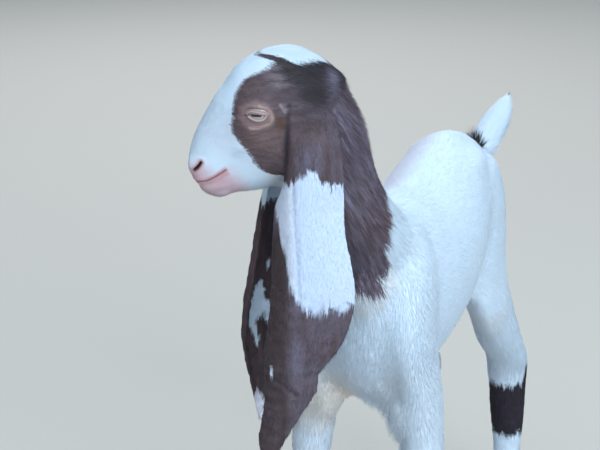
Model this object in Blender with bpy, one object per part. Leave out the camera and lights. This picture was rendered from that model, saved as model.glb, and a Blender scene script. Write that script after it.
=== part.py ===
"""Kamori goat kid, life size, standing and looking to its right.

It stands on the floor plane Z = 0 and faces -X, so its left side faces -Y. Sizes are in
centimetres in the tables below and become metres in at(). The flesh is modelled whole from
lofted forms, fused, and parted with thin gaps into head, neck, torso, tail and legs.
"""
import math

import bmesh
import bpy
import numpy as np
from mathutils import Matrix, Vector

# Driving dimensions
CM = 0.01
GAP = 0.03                      # between touching nodes
HEAD_TURN = math.radians(-67.3) # to the animal's right
HEAD_DIP = math.radians(38.0)    # nose down
EYE_LINE = (16.17, -6.66, 50.06)  # point between the eyes: forward, left, up
FLESH_VOXEL = 0.26
COARSE_TRIANGLES = 6000         # the whole flesh, as fine as the body needs
FINE_TRIANGLES = 14500          # the whole flesh, as fine as the head needs

# Trunk, front to rear: forward, back line, underline, half width
TRUNK = (
    (13.3, 36.0, 30.8, 1.6), (12.4, 38.2, 28.2, 3.3), (10.2, 39.9, 25.3, 4.6),
    (7.0, 41.6, 24.9, 5.2), (3.5, 41.7, 25.5, 5.6), (0.0, 41.3, 26.4, 5.8),
    (-4.0, 41.9, 27.5, 5.7), (-8.0, 43.0, 28.8, 5.2), (-11.0, 43.3, 30.2, 4.6),
    (-14.5, 42.4, 30.8, 4.1), (-17.5, 40.7, 31.0, 3.6), (-19.4, 38.8, 32.0, 2.8),
    (-20.3, 37.4, 33.4, 1.8), (-20.8, 36.3, 34.6, 0.7),
)
TRUNK_PLACE = (0.0, 0.0, 34.0)   # well inside it
TRUNK_WIDEST = 0.45             # height of the widest place, from the underline up

# Neck, base to poll: forward, left, up, half depth, half width, turn of its depth in degrees
NECK = (
    (6.5, 0.0, 36.5, 6.0, 4.6, 0), (9.5, -0.5, 39.6, 5.0, 4.1, -14),
    (12.2, -1.6, 43.4, 4.15, 3.3, -34), (13.5, -2.3, 47.0, 3.8, 2.85, -54),
    (14.2, -2.8, 50.3, 3.6, 2.6, -67), (14.6, -3.3, 52.5, 2.7, 2.1, -67),
)

# Fore limb, shoulder to foot: forward, left, up, half length, half width
FORE_LIMB = (
    (7.0, 2.6, 40.0, 1.8, 1.0), (8.2, 3.4, 36.5, 3.2, 1.8), (9.4, 3.9, 32.0, 3.6, 1.9),
    (9.2, 4.15, 28.8, 3.3, 1.8), (8.8, 4.5, 26.0, 2.75, 1.95), (8.9, 4.75, 23.0, 2.4, 1.95),
    (9.2, 4.95, 20.5, 2.15, 1.85), (9.5, 4.9, 17.6, 1.75, 1.6), (9.7, 4.9, 15.4, 1.85, 1.7),
    (9.6, 4.9, 13.2, 1.5, 1.4), (9.5, 4.9, 10.0, 1.35, 1.25), (9.4, 4.9, 7.4, 1.45, 1.3),
    (9.4, 4.9, 5.6, 1.75, 1.55), (10.0, 4.9, 3.9, 1.5, 1.5), (10.6, 4.9, 2.5, 1.7, 1.7),
    (10.9, 4.9, 1.0, 1.7, 1.7),
)
# Hind limb, hip to foot
HIND_LIMB = (
    (-13.8, 1.9, 39.8, 3.8, 1.8), (-13.8, 2.3, 36.5, 5.1, 2.3), (-13.2, 2.6, 32.5, 5.6, 2.4),
    (-12.8, 3.0, 29.0, 5.3, 2.3), (-13.5, 3.7, 25.5, 4.5, 2.3), (-15.7, 4.2, 22.3, 3.5, 2.15),
    (-18.2, 4.5, 19.3, 2.7, 2.0), (-19.9, 4.25, 16.9, 2.4, 1.95), (-20.0, 4.3, 14.6, 1.95, 1.8),
    (-19.7, 4.5, 11.5, 1.65, 1.65), (-19.4, 4.7, 8.2, 1.55, 1.45), (-19.0, 4.9, 5.8, 1.8, 1.6),
    (-18.3, 4.9, 4.0, 1.55, 1.5), (-17.7, 4.9, 2.6, 1.75, 1.7), (-17.4, 4.9, 1.0, 1.75, 1.7),
)
STEP_FROM = 34.0                # height from which a leg leans to its foot's place
# How far each foot stands ahead and out from its plain place
STEPS = {"fore_left": (0.0, 0.0), "fore_right": (0.0, 0.0), "hind_left": (0.0, 0.0),
         "hind_right": (1.8, 0.0)}
TAIL = (
    (-17.2, 0.0, 38.2, 1.6, 1.7), (-20.2, 0.1, 38.5, 1.3, 1.45), (-22.6, 0.25, 39.3, 1.1, 1.35),
    (-25.4, 0.5, 40.6, 1.0, 1.3), (-27.8, 0.7, 41.9, 0.6, 0.8), (-29.2, 0.8, 42.8, 0.15, 0.2),
)

# Rounded forms on each side of the body: place (forward, left, up) and radii
BODY_FORMS = {
    "hip": ((-10.8, 2.4, 40.4), (2.4, 1.4, 1.6)),
    "seat": ((-18.4, 1.9, 35.2), (1.6, 1.3, 2.4)),
    "ham": ((-16.1, 2.3, 31.2), (3.5, 1.8, 7.0)),
    "blade": ((8.0, 2.7, 37.0), (2.6, 1.7, 3.8)),
    "fold": ((9.7, 3.3, 25.0), (1.9, 1.5, 2.3)),
}
WORLD_AXES = (Vector((1, 0, 0)), Vector((0, 1, 0)), Vector((0, 0, 1)))

# Gaps between nodes of flesh. In the head's directions: place, the way it faces, reach
HEAD_GAP = ((-2.7, -4.1, 0.0), (0.504, 0.864), 6.9)
# In the body's directions: place (forward, left, up), the way it faces, reach
BODY_GAPS = (((10.7, 0.0, 37.6), (-0.828, 0.0, 0.561), 7.4),
             ((-20.9, 0.15, 38.7), (0.92, 0.0, 0.39), 3.0))
# Level gaps across each leg, from the body down: height, reach
LEG_GAPS = {"fore": ((21.9, 3.4), (13.4, 2.6), (7.2, 2.5)),
            "hind": ((26.4, 6.3), (14.2, 3.0), (7.4, 2.7))}
LEG_PARTS = ("leg", "cannon", "foot")
FOOT_LOW = 1.8                   # height where a foot's flesh is about to end

# Head, poll to lips, along the face: ahead of the eye, brow line, jaw line, widest height,
# half width
HEAD = (
    (-7.0, -0.6, -1.6, -1.1, 0.7), (-6.6, 1.0, -3.4, -0.8, 1.9), (-5.4, 2.84, -4.4, -0.4, 2.65),
    (-4.0, 3.72, -4.6, 0.0, 3.0), (-2.5, 4.14, -5.0, 0.2, 3.2), (-1.0, 4.18, -5.4, 0.3, 3.25),
    (0.5, 3.72, -5.5, 0.3, 3.15), (1.6, 3.38, -5.35, 0.2, 2.8), (2.7, 2.92, -4.95, 0.0, 2.4),
    (3.8, 2.4, -4.45, -0.3, 2.1), (4.7, 1.85, -3.75, -0.7, 1.95), (5.5, 1.28, -3.5, -0.9, 1.8),
    (6.1, 0.7, -3.2, -1.1, 1.55), (6.6, -0.45, -2.6, -1.5, 1.1), (6.86, -1.2, -2.1, -1.7, 0.5),
)
# Rounded forms on each side of the head: place (ahead, up, out) and radii
HEAD_FORMS = {
    "brow": ((-0.8, 1.8, 2.55), (1.8, 0.75, 0.85)),
    "cheek": ((-1.0, -3.0, 1.7), (2.7, 2.4, 1.25)),
    "cheek_ridge": ((0.6, -0.7, 2.3), (2.3, 0.6, 0.7)),
    "ear_base": ((-3.3, -1.5, 2.3), (1.7, 1.9, 1.2)),
    "upper_lip": ((5.2, -0.95, 0.75), (1.4, 0.75, 1.05)),
    "nose_wing": ((5.8, 0.1, 0.85), (0.75, 0.75, 0.72)),
}
CHIN = ((5.15, -2.95, 0.0), (1.2, 0.62, 1.05))
EYE_PLACE = (-0.77, 0.58, 2.6)
EYE_RADIUS = 0.95
LID_THICKNESS = 0.14
EYE_FACING = (0.22, 0.12, 1.0)   # ahead, up, out
EYE_OPENING = (1.2, 0.62)        # length and height between the lids
EYE_SLANT = math.radians(-38.0)  # keeps the slit level while the face dips
NOSTRIL = ((5.18, 0.19), (5.66, 0.01), (6.14, -0.19))
MOUTH = (-1.35, -1.5)            # height of the lips' line in front and at its corners
MOUTH_CENTRE = 3.85
MOUTH_RISE = 0.12               # of the line's middle over a straight one

# Ear, root to tip, from its root: drop, ahead, out, breadth, rear and front curl and turn in
# degrees
EAR_NEAR = (
    (-2.0, 0.0, -1.5, 3.2, 70, 95, 0), (-0.9, 0.0, -0.5, 3.8, 70, 95, 0),
    (0.8, -0.1, 0.25, 4.2, 68, 94, 0), (2.9, -0.35, 0.6, 4.3, 60, 92, 0), (4.8, -0.35, 0.8, 4.5, 50, 90, 0),
    (6.4, -0.1, 0.85, 5.1, 44, 90, 0), (8.6, -0.05, 0.9, 5.5, 36, 92, 0), (13.0, -0.4, 0.9, 6.4, 28, 98, 0),
    (16.0, 0.0, 0.9, 6.1, 26, 100, 0), (18.0, 0.65, 0.8, 5.5, 30, 96, 0),
    (19.6, 1.3, 0.7, 4.3, 36, 90, 0), (21.2, 1.3, 0.6, 3.9, 42, 80, 0),
    (23.2, 2.1, 0.5, 3.0, 42, 66, 0), (25.4, 2.9, 0.4, 2.1, 38, 50, 0),
    (27.5, 3.1, 0.3, 0.6, 20, 30, 0),
)
EAR_FAR = (
    (-2.0, 0.0, -1.5, 3.2, 70, 95, 0), (-0.9, 0.0, -0.5, 3.7, 70, 95, 2),
    (0.8, 0.1, 0.3, 4.1, 68, 94, 6), (2.9, 0.9, 0.8, 4.6, 60, 92, 20), (5.5, 1.9, 1.4, 5.0, 48, 88, 35),
    (9.0, 2.9, 1.9, 5.2, 38, 86, 45), (13.0, 3.6, 2.1, 5.2, 30, 86, 48),
    (16.5, 4.3, 2.2, 5.0, 28, 88, 50), (19.4, 4.6, 2.2, 4.3, 32, 84, 50),
    (21.8, 4.5, 2.2, 3.3, 36, 76, 50), (24.2, 4.1, 2.2, 2.3, 36, 60, 45),
    (26.6, 3.9, 2.2, 1.2, 30, 40, 40), (27.6, 3.9, 2.2, 0.5, 20, 30, 40),
)
EAR_ROOT = (-3.1, -2.4, 3.3)     # in the head's own directions
EAR_THICKNESS = 0.34
EAR_STEPS = (48, 17)
EAR_VOXEL = 0.13
EAR_TRIANGLES = 1150
# Rounded forms that carry the ear from the head: ahead, up and out of its root, and radii
EAR_BASE = (((0.0, 1.0, -1.3), (2.0, 1.5, 1.2)), ((0.0, 0.0, -0.9), (1.75, 1.8, 1.15)))

# Hooves: length, half width, height at the toe and at the heel of one claw
CLAW = (3.9, 0.86, 2.35, 1.45)
CLAW_SPREAD = 0.98               # from the foot's middle to a claw's middle
DEWCLAW = 0.42

SKIN_WHITE = (0.80, 0.80, 0.79, 1.0)
SKIN_BROWN = (0.055, 0.030, 0.024, 1.0)
SKIN_SLATE = (0.085, 0.070, 0.075, 1.0)
HORN = (0.10, 0.085, 0.075, 1.0)
EYE_GREY = (0.42, 0.40, 0.36, 1.0)


# Places and directions
def at(forward, left, up):
    return Vector((-forward, -left, up)) * CM


def head_axes():
    """The face's own directions: ahead towards the lips, up towards the brow, left."""
    turn, dip = HEAD_TURN, HEAD_DIP
    ahead = Vector((-math.cos(dip) * math.cos(turn), -math.cos(dip) * math.sin(turn), -math.sin(dip)))
    left = Vector((math.sin(turn), -math.cos(turn), 0.0))
    return ahead, ahead.cross(left), left


def head_at(ahead, up, left):
    axes = head_axes()
    return at(*EYE_LINE) + (axes[0] * ahead + axes[1] * up + axes[2] * left) * CM


def flow(rows, steps):
    """Rows of numbers made finer by a smooth curve through them."""
    rows = np.array(rows, float)
    padded = np.vstack([2 * rows[0] - rows[1], rows, 2 * rows[-1] - rows[-2]])
    found = []
    for i in range(1, len(padded) - 2):
        a, b, c, d = padded[i - 1:i + 3]
        for k in range(steps):
            t = k / steps
            found.append(0.5 * (2 * b + (c - a) * t + (2 * a - 5 * b + 4 * c - d) * t * t
                                + (3 * b - a - 3 * c + d) * t ** 3))
    found.append(rows[-1])
    return found


# Meshes
def mesh_object(name, bm):
    mesh = bpy.data.meshes.new(name)
    bm.to_mesh(mesh)
    bm.free()
    obj = bpy.data.objects.new(name, mesh)
    bpy.context.scene.collection.objects.link(obj)
    return obj


def ring(center, across, along, half, above, below, powers, sides):
    """One closed section: an ellipse whose upper and lower parts have their own fullness."""
    points = []
    for k in range(sides):
        angle = 2 * math.pi * k / sides
        c, s = math.cos(angle), math.sin(angle)
        power = powers[0] if s > 0 else powers[1]
        x = math.copysign(abs(c) ** (2 / power), c) * half
        y = math.copysign(abs(s) ** (2 / power), s) * (above if s > 0 else below)
        points.append(center + (across * x + along * y) * CM)
    return points


def loft(name, rings):
    bm = bmesh.new()
    loops = [[bm.verts.new(p) for p in points] for points in rings]
    for first, second in zip(loops, loops[1:]):
        for k in range(len(first)):
            n = (k + 1) % len(first)
            bm.faces.new((first[k], first[n], second[n], second[k]))
    bm.faces.new(loops[0])
    bm.faces.new(loops[-1])
    bmesh.ops.recalc_face_normals(bm, faces=bm.faces)
    return mesh_object(name, bm)


def ellipsoid(name, center, axes, radii, segments=24):
    bm = bmesh.new()
    bmesh.ops.create_uvsphere(bm, u_segments=segments, v_segments=segments // 2, radius=1.0)
    turn = Matrix([axes[i] * radii[i] * CM for i in range(3)]).transposed().to_4x4()
    bmesh.ops.transform(bm, matrix=Matrix.Translation(center) @ turn, verts=bm.verts)
    bmesh.ops.recalc_face_normals(bm, faces=bm.faces)
    return mesh_object(name, bm)


def disc(name, center, normal, radius):
    """A thin round plate, the gap between two nodes."""
    bm = bmesh.new()
    bmesh.ops.create_cone(bm, cap_ends=True, segments=32, radius1=radius * CM,
                          radius2=radius * CM, depth=GAP * CM)
    turn = Vector((0, 0, 1)).rotation_difference(normal).to_matrix().to_4x4()
    bmesh.ops.transform(bm, matrix=Matrix.Translation(center) @ turn, verts=bm.verts)
    return mesh_object(name, bm)


def apply_modifiers(obj):
    graph = bpy.context.evaluated_depsgraph_get()
    mesh = bpy.data.meshes.new_from_object(obj.evaluated_get(graph))
    obj.modifiers.clear()
    obj.data = mesh


def combine(base, others, operation, solver="EXACT"):
    """One Boolean of a base with a collection of closed objects, applied."""
    group = bpy.data.collections.new("others")
    bpy.context.scene.collection.children.link(group)
    for obj in others:
        group.objects.link(obj)
    step = base.modifiers.new("join", "BOOLEAN")
    step.operand_type = "COLLECTION"
    step.collection = group
    step.operation = operation
    step.solver = solver
    bpy.context.view_layer.update()
    apply_modifiers(base)
    for obj in others:
        bpy.data.objects.remove(obj)
    bpy.data.collections.remove(group)
    return base


def copy_of(obj, name):
    twin = bpy.data.objects.new(name, obj.data.copy())
    bpy.context.scene.collection.objects.link(twin)
    return twin


def pieces_of(mesh):
    """The mesh's closed surfaces, each as a list of face numbers, largest first."""
    bm = bmesh.new()
    bm.from_mesh(mesh)
    unseen, found = set(bm.faces), []
    while unseen:
        stack, group = [unseen.pop()], []
        while stack:
            face = stack.pop()
            group.append(face)
            for edge in face.edges:
                for other in edge.link_faces:
                    if other in unseen:
                        unseen.remove(other)
                        stack.append(other)
        found.append([face.index for face in group])
    bm.free()
    return sorted(found, key=len, reverse=True)


def keep_faces(obj, wanted):
    bm = bmesh.new()
    bm.from_mesh(obj.data)
    bm.faces.ensure_lookup_table()
    kept = set(wanted)
    bmesh.ops.delete(bm, geom=[f for f in bm.faces if f.index not in kept], context="FACES")
    bm.to_mesh(obj.data)
    bm.free()
    return obj


def keep_largest(obj):
    return keep_faces(obj, pieces_of(obj.data)[0])


def finish(obj, colour, roughness=0.8):
    material = bpy.data.materials.new(obj.name)
    material.use_nodes = True
    shader = material.node_tree.nodes["Principled BSDF"]
    shader.inputs["Base Color"].default_value = colour
    shader.inputs["Roughness"].default_value = roughness
    shader.inputs["Metallic"].default_value = 0.0
    obj.data.materials.clear()
    obj.data.materials.append(material)
    obj.data.shade_smooth()
    obj.data.set_sharp_from_angle(angle=math.radians(50))
    return obj


# The flesh, form by form
def trunk():
    rings = []
    for forward, back, under, half in flow(TRUNK, 3):
        widest = under + (back - under) * TRUNK_WIDEST
        rings.append(ring(at(forward, 0, widest), Vector((0, -1, 0)), Vector((0, 0, 1)), half,
                          back - widest, widest - under, (1.75, 2.3), 32))
    return loft("trunk", rings)


def neck():
    rings = []
    for forward, left, up, deep, half, turn in flow(NECK, 3):
        angle = math.radians(turn)
        ahead = Vector((-math.cos(angle), -math.sin(angle), 0))
        rings.append(ring(at(forward, left, up), Vector((ahead.y, -ahead.x, 0)), ahead, half,
                          deep, deep, (2, 2), 28))
    return loft("neck_form", rings)


def lean(leg, up):
    """How far a leg stands ahead and out of its table at this height."""
    share = min(max((STEP_FROM - up) / STEP_FROM, 0.0) * 1.6, 1.0)
    return STEPS[leg][0] * share, STEPS[leg][1] * share


def side_of(leg):
    return 1 if leg.endswith("left") else -1


def rows_of(leg):
    return FORE_LIMB if leg.startswith("fore") else HIND_LIMB


def leg_middle(leg, up):
    """Forward and left of a leg's middle at this height."""
    rows = sorted(rows_of(leg), key=lambda row: row[2])
    heights = [row[2] for row in rows]
    ahead, out = lean(leg, up)
    forward = float(np.interp(up, heights, [row[0] for row in rows])) + ahead
    left = float(np.interp(up, heights, [row[1] for row in rows])) + out
    return forward, left * side_of(leg)


def limb(leg):
    rings = []
    for forward, left, up, length, half in flow(rows_of(leg), 3):
        ahead, out = lean(leg, up)
        place = at(forward + ahead, (left + out) * side_of(leg), up)
        rings.append(ring(place, Vector((0, -1, 0)), Vector((-1, 0, 0)), half, length, length,
                          (2, 2), 24))
    return loft(leg, rings)


def tail():
    rows = flow(TAIL, 3)
    rings = []
    for i, (forward, left, up, thick, half) in enumerate(rows):
        before, after = rows[max(i - 1, 0)], rows[min(i + 1, len(rows) - 1)]
        way = (at(*after[:3]) - at(*before[:3])).normalized()
        across = Vector((0, -1, 0))
        rings.append(ring(at(forward, left, up), across, way.cross(across), half, thick, thick,
                          (2, 2), 20))
    return loft("tail_form", rings)


def skull():
    _, up, left = head_axes()
    rings = []
    for ahead, brow, jaw, widest, half in flow(HEAD, 3):
        rings.append(ring(head_at(ahead, widest, 0), left, up, half, brow - widest,
                          widest - jaw, (2.15, 1.8), 36))
    return loft("head_form", rings)


def head_forms():
    forms = []
    for name, ((ahead, up, out), radii) in HEAD_FORMS.items():
        for side in (1, -1):
            forms.append(ellipsoid(name, head_at(ahead, up, out * side), head_axes(), radii))
    forms.append(ellipsoid("chin", head_at(*CHIN[0]), head_axes(), CHIN[1]))
    for side in (1, -1):
        reach = EYE_RADIUS + LID_THICKNESS
        forms.append(ellipsoid("lid", eye_center(side), head_axes(), (reach, reach, reach)))
    return forms


def body_forms():
    """The muscles and points of bone that show through the coat."""
    forms = []
    for name, ((forward, left, up), radii) in BODY_FORMS.items():
        for side in (1, -1):
            forms.append(ellipsoid(name, at(forward, left * side, up), WORLD_AXES, radii))
    return forms


def even_surface(obj, voxel, rounds):
    """One even, smoothed surface drawn over a fused form."""
    even = obj.modifiers.new("even", "REMESH")
    even.mode = "VOXEL"
    even.voxel_size = voxel * CM
    soft = obj.modifiers.new("soft", "SMOOTH")
    soft.factor = 0.5
    soft.iterations = rounds
    apply_modifiers(obj)
    return keep_largest(obj)


def smooth_flesh():
    """Every form fused, then drawn over with one even surface."""
    forms = [neck(), tail(), skull()] + head_forms() + body_forms()
    forms += [limb(leg) for leg in STEPS]
    return even_surface(combine(trunk(), forms, "UNION"), FLESH_VOXEL, 6)


def thinned(flesh, name, triangles):
    twin = copy_of(flesh, name)
    few = twin.modifiers.new("few", "DECIMATE")
    few.ratio = triangles / (2 * len(flesh.data.polygons))
    apply_modifiers(twin)
    return keep_largest(twin)


def gaps():
    """Each gap as a point, the way it faces and its reach."""
    ahead, up, _ = head_axes()
    place, (way_ahead, way_up), reach = HEAD_GAP
    found = [(head_at(*place), (ahead * way_ahead + up * way_up).normalized(), reach)]
    for place, way, reach in BODY_GAPS:
        found.append((at(*place), Vector(way).normalized(), reach))
    for leg in STEPS:
        for height, reach in LEG_GAPS[leg[:4]]:
            forward, left = leg_middle(leg, height)
            found.append((at(forward, left, height), Vector((0, 0, 1)), reach))
    return found


def node_places():
    """A point near the middle of every node but the head."""
    found = {"torso": at(*TRUNK_PLACE), "neck": at(*NECK[2][:3]), "tail": at(*TAIL[3][:3])}
    for leg in STEPS:
        kind, where = leg.split("_")
        limits = [height for height, _ in LEG_GAPS[kind]] + [FOOT_LOW]
        for k, part in enumerate(LEG_PARTS):
            height = (limits[k] + limits[k + 1]) / 2
            forward, left = leg_middle(leg, height)
            found[f"{kind}_{part}_{where}"] = at(forward, left, height)
    return found


def middle(mesh, faces):
    corners = [mesh.vertices[v].co for f in faces for v in mesh.polygons[f].vertices]
    low = Vector(min(c[i] for c in corners) for i in range(3))
    high = Vector(max(c[i] for c in corners) for i in range(3))
    return (low + high) / 2


def part_flesh(fine, coarse):
    """The head from the fine surface and every other node from the coarse one."""
    for flesh in (fine, coarse):
        combine(flesh, [disc("gap", *gap) for gap in gaps()], "DIFFERENCE")
    parts = {}
    groups = pieces_of(coarse.data)
    for name, place in node_places().items():
        nearest = min(groups, key=lambda g: (middle(coarse.data, g) - place).length)
        parts[name] = keep_faces(copy_of(coarse, name), nearest)
    face = min(pieces_of(fine.data),
               key=lambda g: (middle(fine.data, g) - head_at(0, -1, 0)).length)
    parts["head"] = keep_faces(copy_of(fine, "head"), face)
    for flesh in (fine, coarse):
        bpy.data.objects.remove(flesh)
    return parts


# Eyes, lids, nostrils and lips
def eye_center(side):
    return head_at(EYE_PLACE[0], EYE_PLACE[1], EYE_PLACE[2] * side)


def eye_axes(side):
    """Along the slit towards the nose, up across it and out of the eye."""
    ahead, up, left = head_axes()
    out = (ahead * EYE_FACING[0] + up * EYE_FACING[1] + left * side * EYE_FACING[2]).normalized()
    flat = ahead * math.cos(EYE_SLANT) - up * math.sin(EYE_SLANT)
    along = (flat - out * flat.dot(out)).normalized()
    return along, out.cross(along) * side, out


def almond(side):
    """A cutter through the lids with the outline of the open eye."""
    along, up, out = eye_axes(side)
    length, height = EYE_OPENING
    near, far = [], []
    for k in range(20):
        angle = 2 * math.pi * k / 20
        x = math.cos(angle) * length / 2
        y = math.copysign(abs(math.sin(angle)) ** 1.25, math.sin(angle)) * height / 2
        flat = eye_center(side) + (along * x + up * y) * CM
        near.append(flat + out * 0.35 * CM)
        far.append(flat + out * 2.2 * CM)
    return loft("opening", [near, far])


def tube(name, points, radii, sides=8):
    rings = []
    for i, point in enumerate(points):
        way = (points[min(i + 1, len(points) - 1)] - points[max(i - 1, 0)]).normalized()
        across = way.orthogonal().normalized() if i == 0 else (across - way * across.dot(way)).normalized()
        rings.append(ring(point, across, way.cross(across), radii[i], radii[i], radii[i],
                          (2, 2), sides))
    return loft(name, rings)


def on_face(head, start, way):
    """Where a ray from inside the head leaves it."""
    hit, point, _, _ = head.ray_cast(start, way)
    return point if hit else start


def mouth_line(head):
    ahead, up, left = head_axes()
    points, radii = [], []
    turns = 26
    for k in range(turns + 1):
        angle = math.radians(-84 + 168 * k / turns)
        share = abs(angle) / math.radians(84)
        height = MOUTH[0] + (MOUTH[1] - MOUTH[0]) * share + MOUTH_RISE * math.sin(math.pi * share)
        way = ahead * math.cos(angle) + left * math.sin(angle)
        points.append(on_face(head, head_at(MOUTH_CENTRE, height, 0), way))
        radii.append(0.10 - 0.05 * share ** 4)
    return tube("lips", points, radii)


def nostril(head, side):
    points = [on_face(head, head_at(a, u, 0.0), head_axes()[2] * side) for a, u in NOSTRIL]
    return tube("nostril", points, (0.07, 0.15, 0.12), 10)


def face_cuts(head):
    cutters = [mouth_line(head)]
    for side in (1, -1):
        reach = EYE_RADIUS + GAP
        cutters += [nostril(head, side), almond(side),
                    ellipsoid("socket", eye_center(side), eye_axes(side), (reach,) * 3, 28)]
    return keep_largest(combine(head, cutters, "DIFFERENCE"))


def eyes():
    for side, name in ((1, "eye_left"), (-1, "eye_right")):
        ball = ellipsoid(name, eye_center(side), eye_axes(side), (EYE_RADIUS,) * 3, 18)
        finish(ball, EYE_GREY, 0.1)


# Ears: a curved sheet, its rear part open and its front part rolled in
def ear_section(breadth, rear, front, turn, across):
    """Points of one section as ahead and inward, its middle at zero and its breadth as seen flat."""
    fine = 40
    s = np.linspace(-1, 1, fine + 1)
    angle = np.where(s < 0, math.radians(rear) * s, math.radians(front) * np.abs(s) ** 1.4)
    between = (angle[1:] + angle[:-1]) / 2
    ahead = np.concatenate([[0], np.cumsum(np.cos(between))])
    inward = np.concatenate([[0], np.cumsum(np.sin(between))])
    scale = breadth / (ahead.max() - ahead.min())
    ahead = (ahead - (ahead.max() + ahead.min()) / 2) * scale
    inward = (inward - inward.min()) * scale
    c, n = math.cos(math.radians(turn)), math.sin(math.radians(turn))
    wanted = np.linspace(-1, 1, across)
    return (np.interp(wanted, s, ahead * c - inward * n),
            np.interp(wanted, s, ahead * n + inward * c))


def ear(name, rows, side):
    ahead_level = Vector((-math.cos(HEAD_TURN), -math.sin(HEAD_TURN), 0))
    out = head_axes()[2] * side
    root = head_at(EAR_ROOT[0], EAR_ROOT[1], EAR_ROOT[2] * side)
    along, across = EAR_STEPS
    rows = np.array(flow(rows, 4))
    rows = rows[np.linspace(0, len(rows) - 1, along + 1).round().astype(int)]
    bm = bmesh.new()
    grid = []
    for drop, ahead, outward, breadth, rear, front, turn in rows:
        xs, ys = ear_section(breadth, rear, front, turn, across)
        center = root + (ahead_level * ahead + out * outward - Vector((0, 0, drop))) * CM
        grid.append([bm.verts.new(center + (ahead_level * x - out * y) * CM)
                     for x, y in zip(xs, ys)])
    for first, second in zip(grid, grid[1:]):
        for k in range(across - 1):
            bm.faces.new((first[k], first[k + 1], second[k + 1], second[k]))
    obj = mesh_object(name, bm)
    thick = obj.modifiers.new("thick", "SOLIDIFY")
    thick.thickness = EAR_THICKNESS * CM
    thick.offset = 0.0
    thick.use_even_offset = False
    apply_modifiers(obj)
    bm = bmesh.new()
    bm.from_mesh(obj.data)
    bmesh.ops.recalc_face_normals(bm, faces=bm.faces)
    bm.to_mesh(obj.data)
    bm.free()
    return obj


def ears(parts):
    for side, name, rows in ((1, "ear_left", EAR_NEAR), (-1, "ear_right", EAR_FAR)):
        sheet = ear(name, rows, side)
        plugs = []
        for (ahead, up, out), radii in EAR_BASE:
            place = head_at(EAR_ROOT[0] + ahead, EAR_ROOT[1] + up, (EAR_ROOT[2] + out) * side)
            plugs.append(ellipsoid("plug", place, head_axes(), radii))
        combine(sheet, plugs, "UNION")
        sheet = even_surface(sheet, EAR_VOXEL, 3)
        few = sheet.modifiers.new("few", "DECIMATE")
        few.ratio = EAR_TRIANGLES / (2 * len(sheet.data.polygons))
        apply_modifiers(sheet)
        clear = [swollen(parts[n]) for n in ("head", "neck")]
        combine(sheet, clear, "DIFFERENCE")
        parts[name] = keep_largest(sheet)


def swollen(obj):
    twin = copy_of(obj, "clearance")
    grow = twin.modifiers.new("grow", "DISPLACE")
    grow.strength = GAP * CM
    grow.mid_level = 0.0
    apply_modifiers(twin)
    return twin


# Feet
def claw(name, foot, inner):
    """One claw: flat sole on the floor, upright sides, pointed toe and sloping top."""
    length, half, toe, heel = CLAW
    rings = []
    for height, shrink in ((0.0, 1.0), (0.5, 0.985), (1.6, 0.93), (3.0, 0.86)):
        points = []
        for k in range(16):
            angle = 2 * math.pi * k / 16
            x = math.cos(angle)
            y = math.sin(angle)
            narrow = 1.0 - 0.42 * max(x, 0) ** 2
            forward = foot[0] + (x * length / 2) * shrink - height * 0.22
            left = foot[1] + inner * CLAW_SPREAD + y * half * narrow * shrink
            points.append(at(forward, left, height))
        rings.append(points)
    block = loft(name, rings)
    slope = Vector((-(toe - heel), 0, -length)).normalized() * -1
    top = Vector((slope.x, 0, slope.z))
    bm = bmesh.new()
    bm.from_mesh(block.data)
    found = bmesh.ops.bisect_plane(bm, geom=bm.verts[:] + bm.edges[:] + bm.faces[:],
                                   plane_co=at(foot[0], 0, (toe + heel) / 2), plane_no=top,
                                   clear_outer=True)
    edges = [e for e in found["geom_cut"] if isinstance(e, bmesh.types.BMEdge)]
    bmesh.ops.contextual_create(bm, geom=edges)
    bmesh.ops.recalc_face_normals(bm, faces=bm.faces)
    bm.to_mesh(block.data)
    bm.free()
    return finish(block, HORN, 0.5)


# From a foot's middle at the floor to its claws' middle, and to its dewclaws, with their height
CLAW_AHEAD = {"fore": 0.2, "hind": 0.3}
DEWCLAW_BEHIND = {"fore": (-2.7, 4.3), "hind": (-2.75, 4.4)}


def coronet_cutter(foot):
    """Everything under the slope where flesh meets horn."""
    length, _, toe, heel = CLAW
    corners = []
    for forward in (-4.5, 4.5):
        top = (toe + heel) / 2 + forward / length * (toe - heel) + GAP
        corners.append((foot[0] + forward, top))
    (back, low), (front, high) = corners
    sides = []
    for left in (-9, 9):
        sides.append([at(back, left, -1), at(front, left, -1), at(front, left, high), at(back, left, low)])
    return loft("under", sides)


def feet(parts):
    for leg in STEPS:
        kind, where = leg.split("_")
        node = parts[f"{kind}_foot_{where}"]
        forward, left = leg_middle(leg, 0.0)
        foot = (forward + CLAW_AHEAD[kind], left)
        combine(node, [coronet_cutter(foot)], "DIFFERENCE")
        for inner, which in ((-1, "a"), (1, "b")):
            claw(f"hoof_{kind}_{where}_{which}", foot, inner)
            back, height = DEWCLAW_BEHIND[kind]
            spot = at(forward + back, left + inner * 0.72, height)
            horn = ellipsoid(f"dewclaw_{kind}_{where}_{which}", spot,
                             (Vector((1, 0, 0)), Vector((0, 1, 0)), Vector((0, 0, 1))),
                             (DEWCLAW, DEWCLAW * 0.9, DEWCLAW * 1.3), 8)
            combine(horn, [swollen(node)], "DIFFERENCE")
            finish(keep_largest(horn), HORN, 0.5)
        keep_largest(node)


def center_on_floor():
    """Brings the middle of the whole, seen from above, over the origin."""
    nodes = [obj for obj in bpy.data.objects if obj.type == "MESH"]
    corners = np.array([vert.co for obj in nodes for vert in obj.data.vertices])
    middle_of_all = (corners.min(axis=0) + corners.max(axis=0)) / 2
    shift = Matrix.Translation((-middle_of_all[0], -middle_of_all[1], 0))
    for obj in nodes:
        obj.data.transform(shift)


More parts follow.
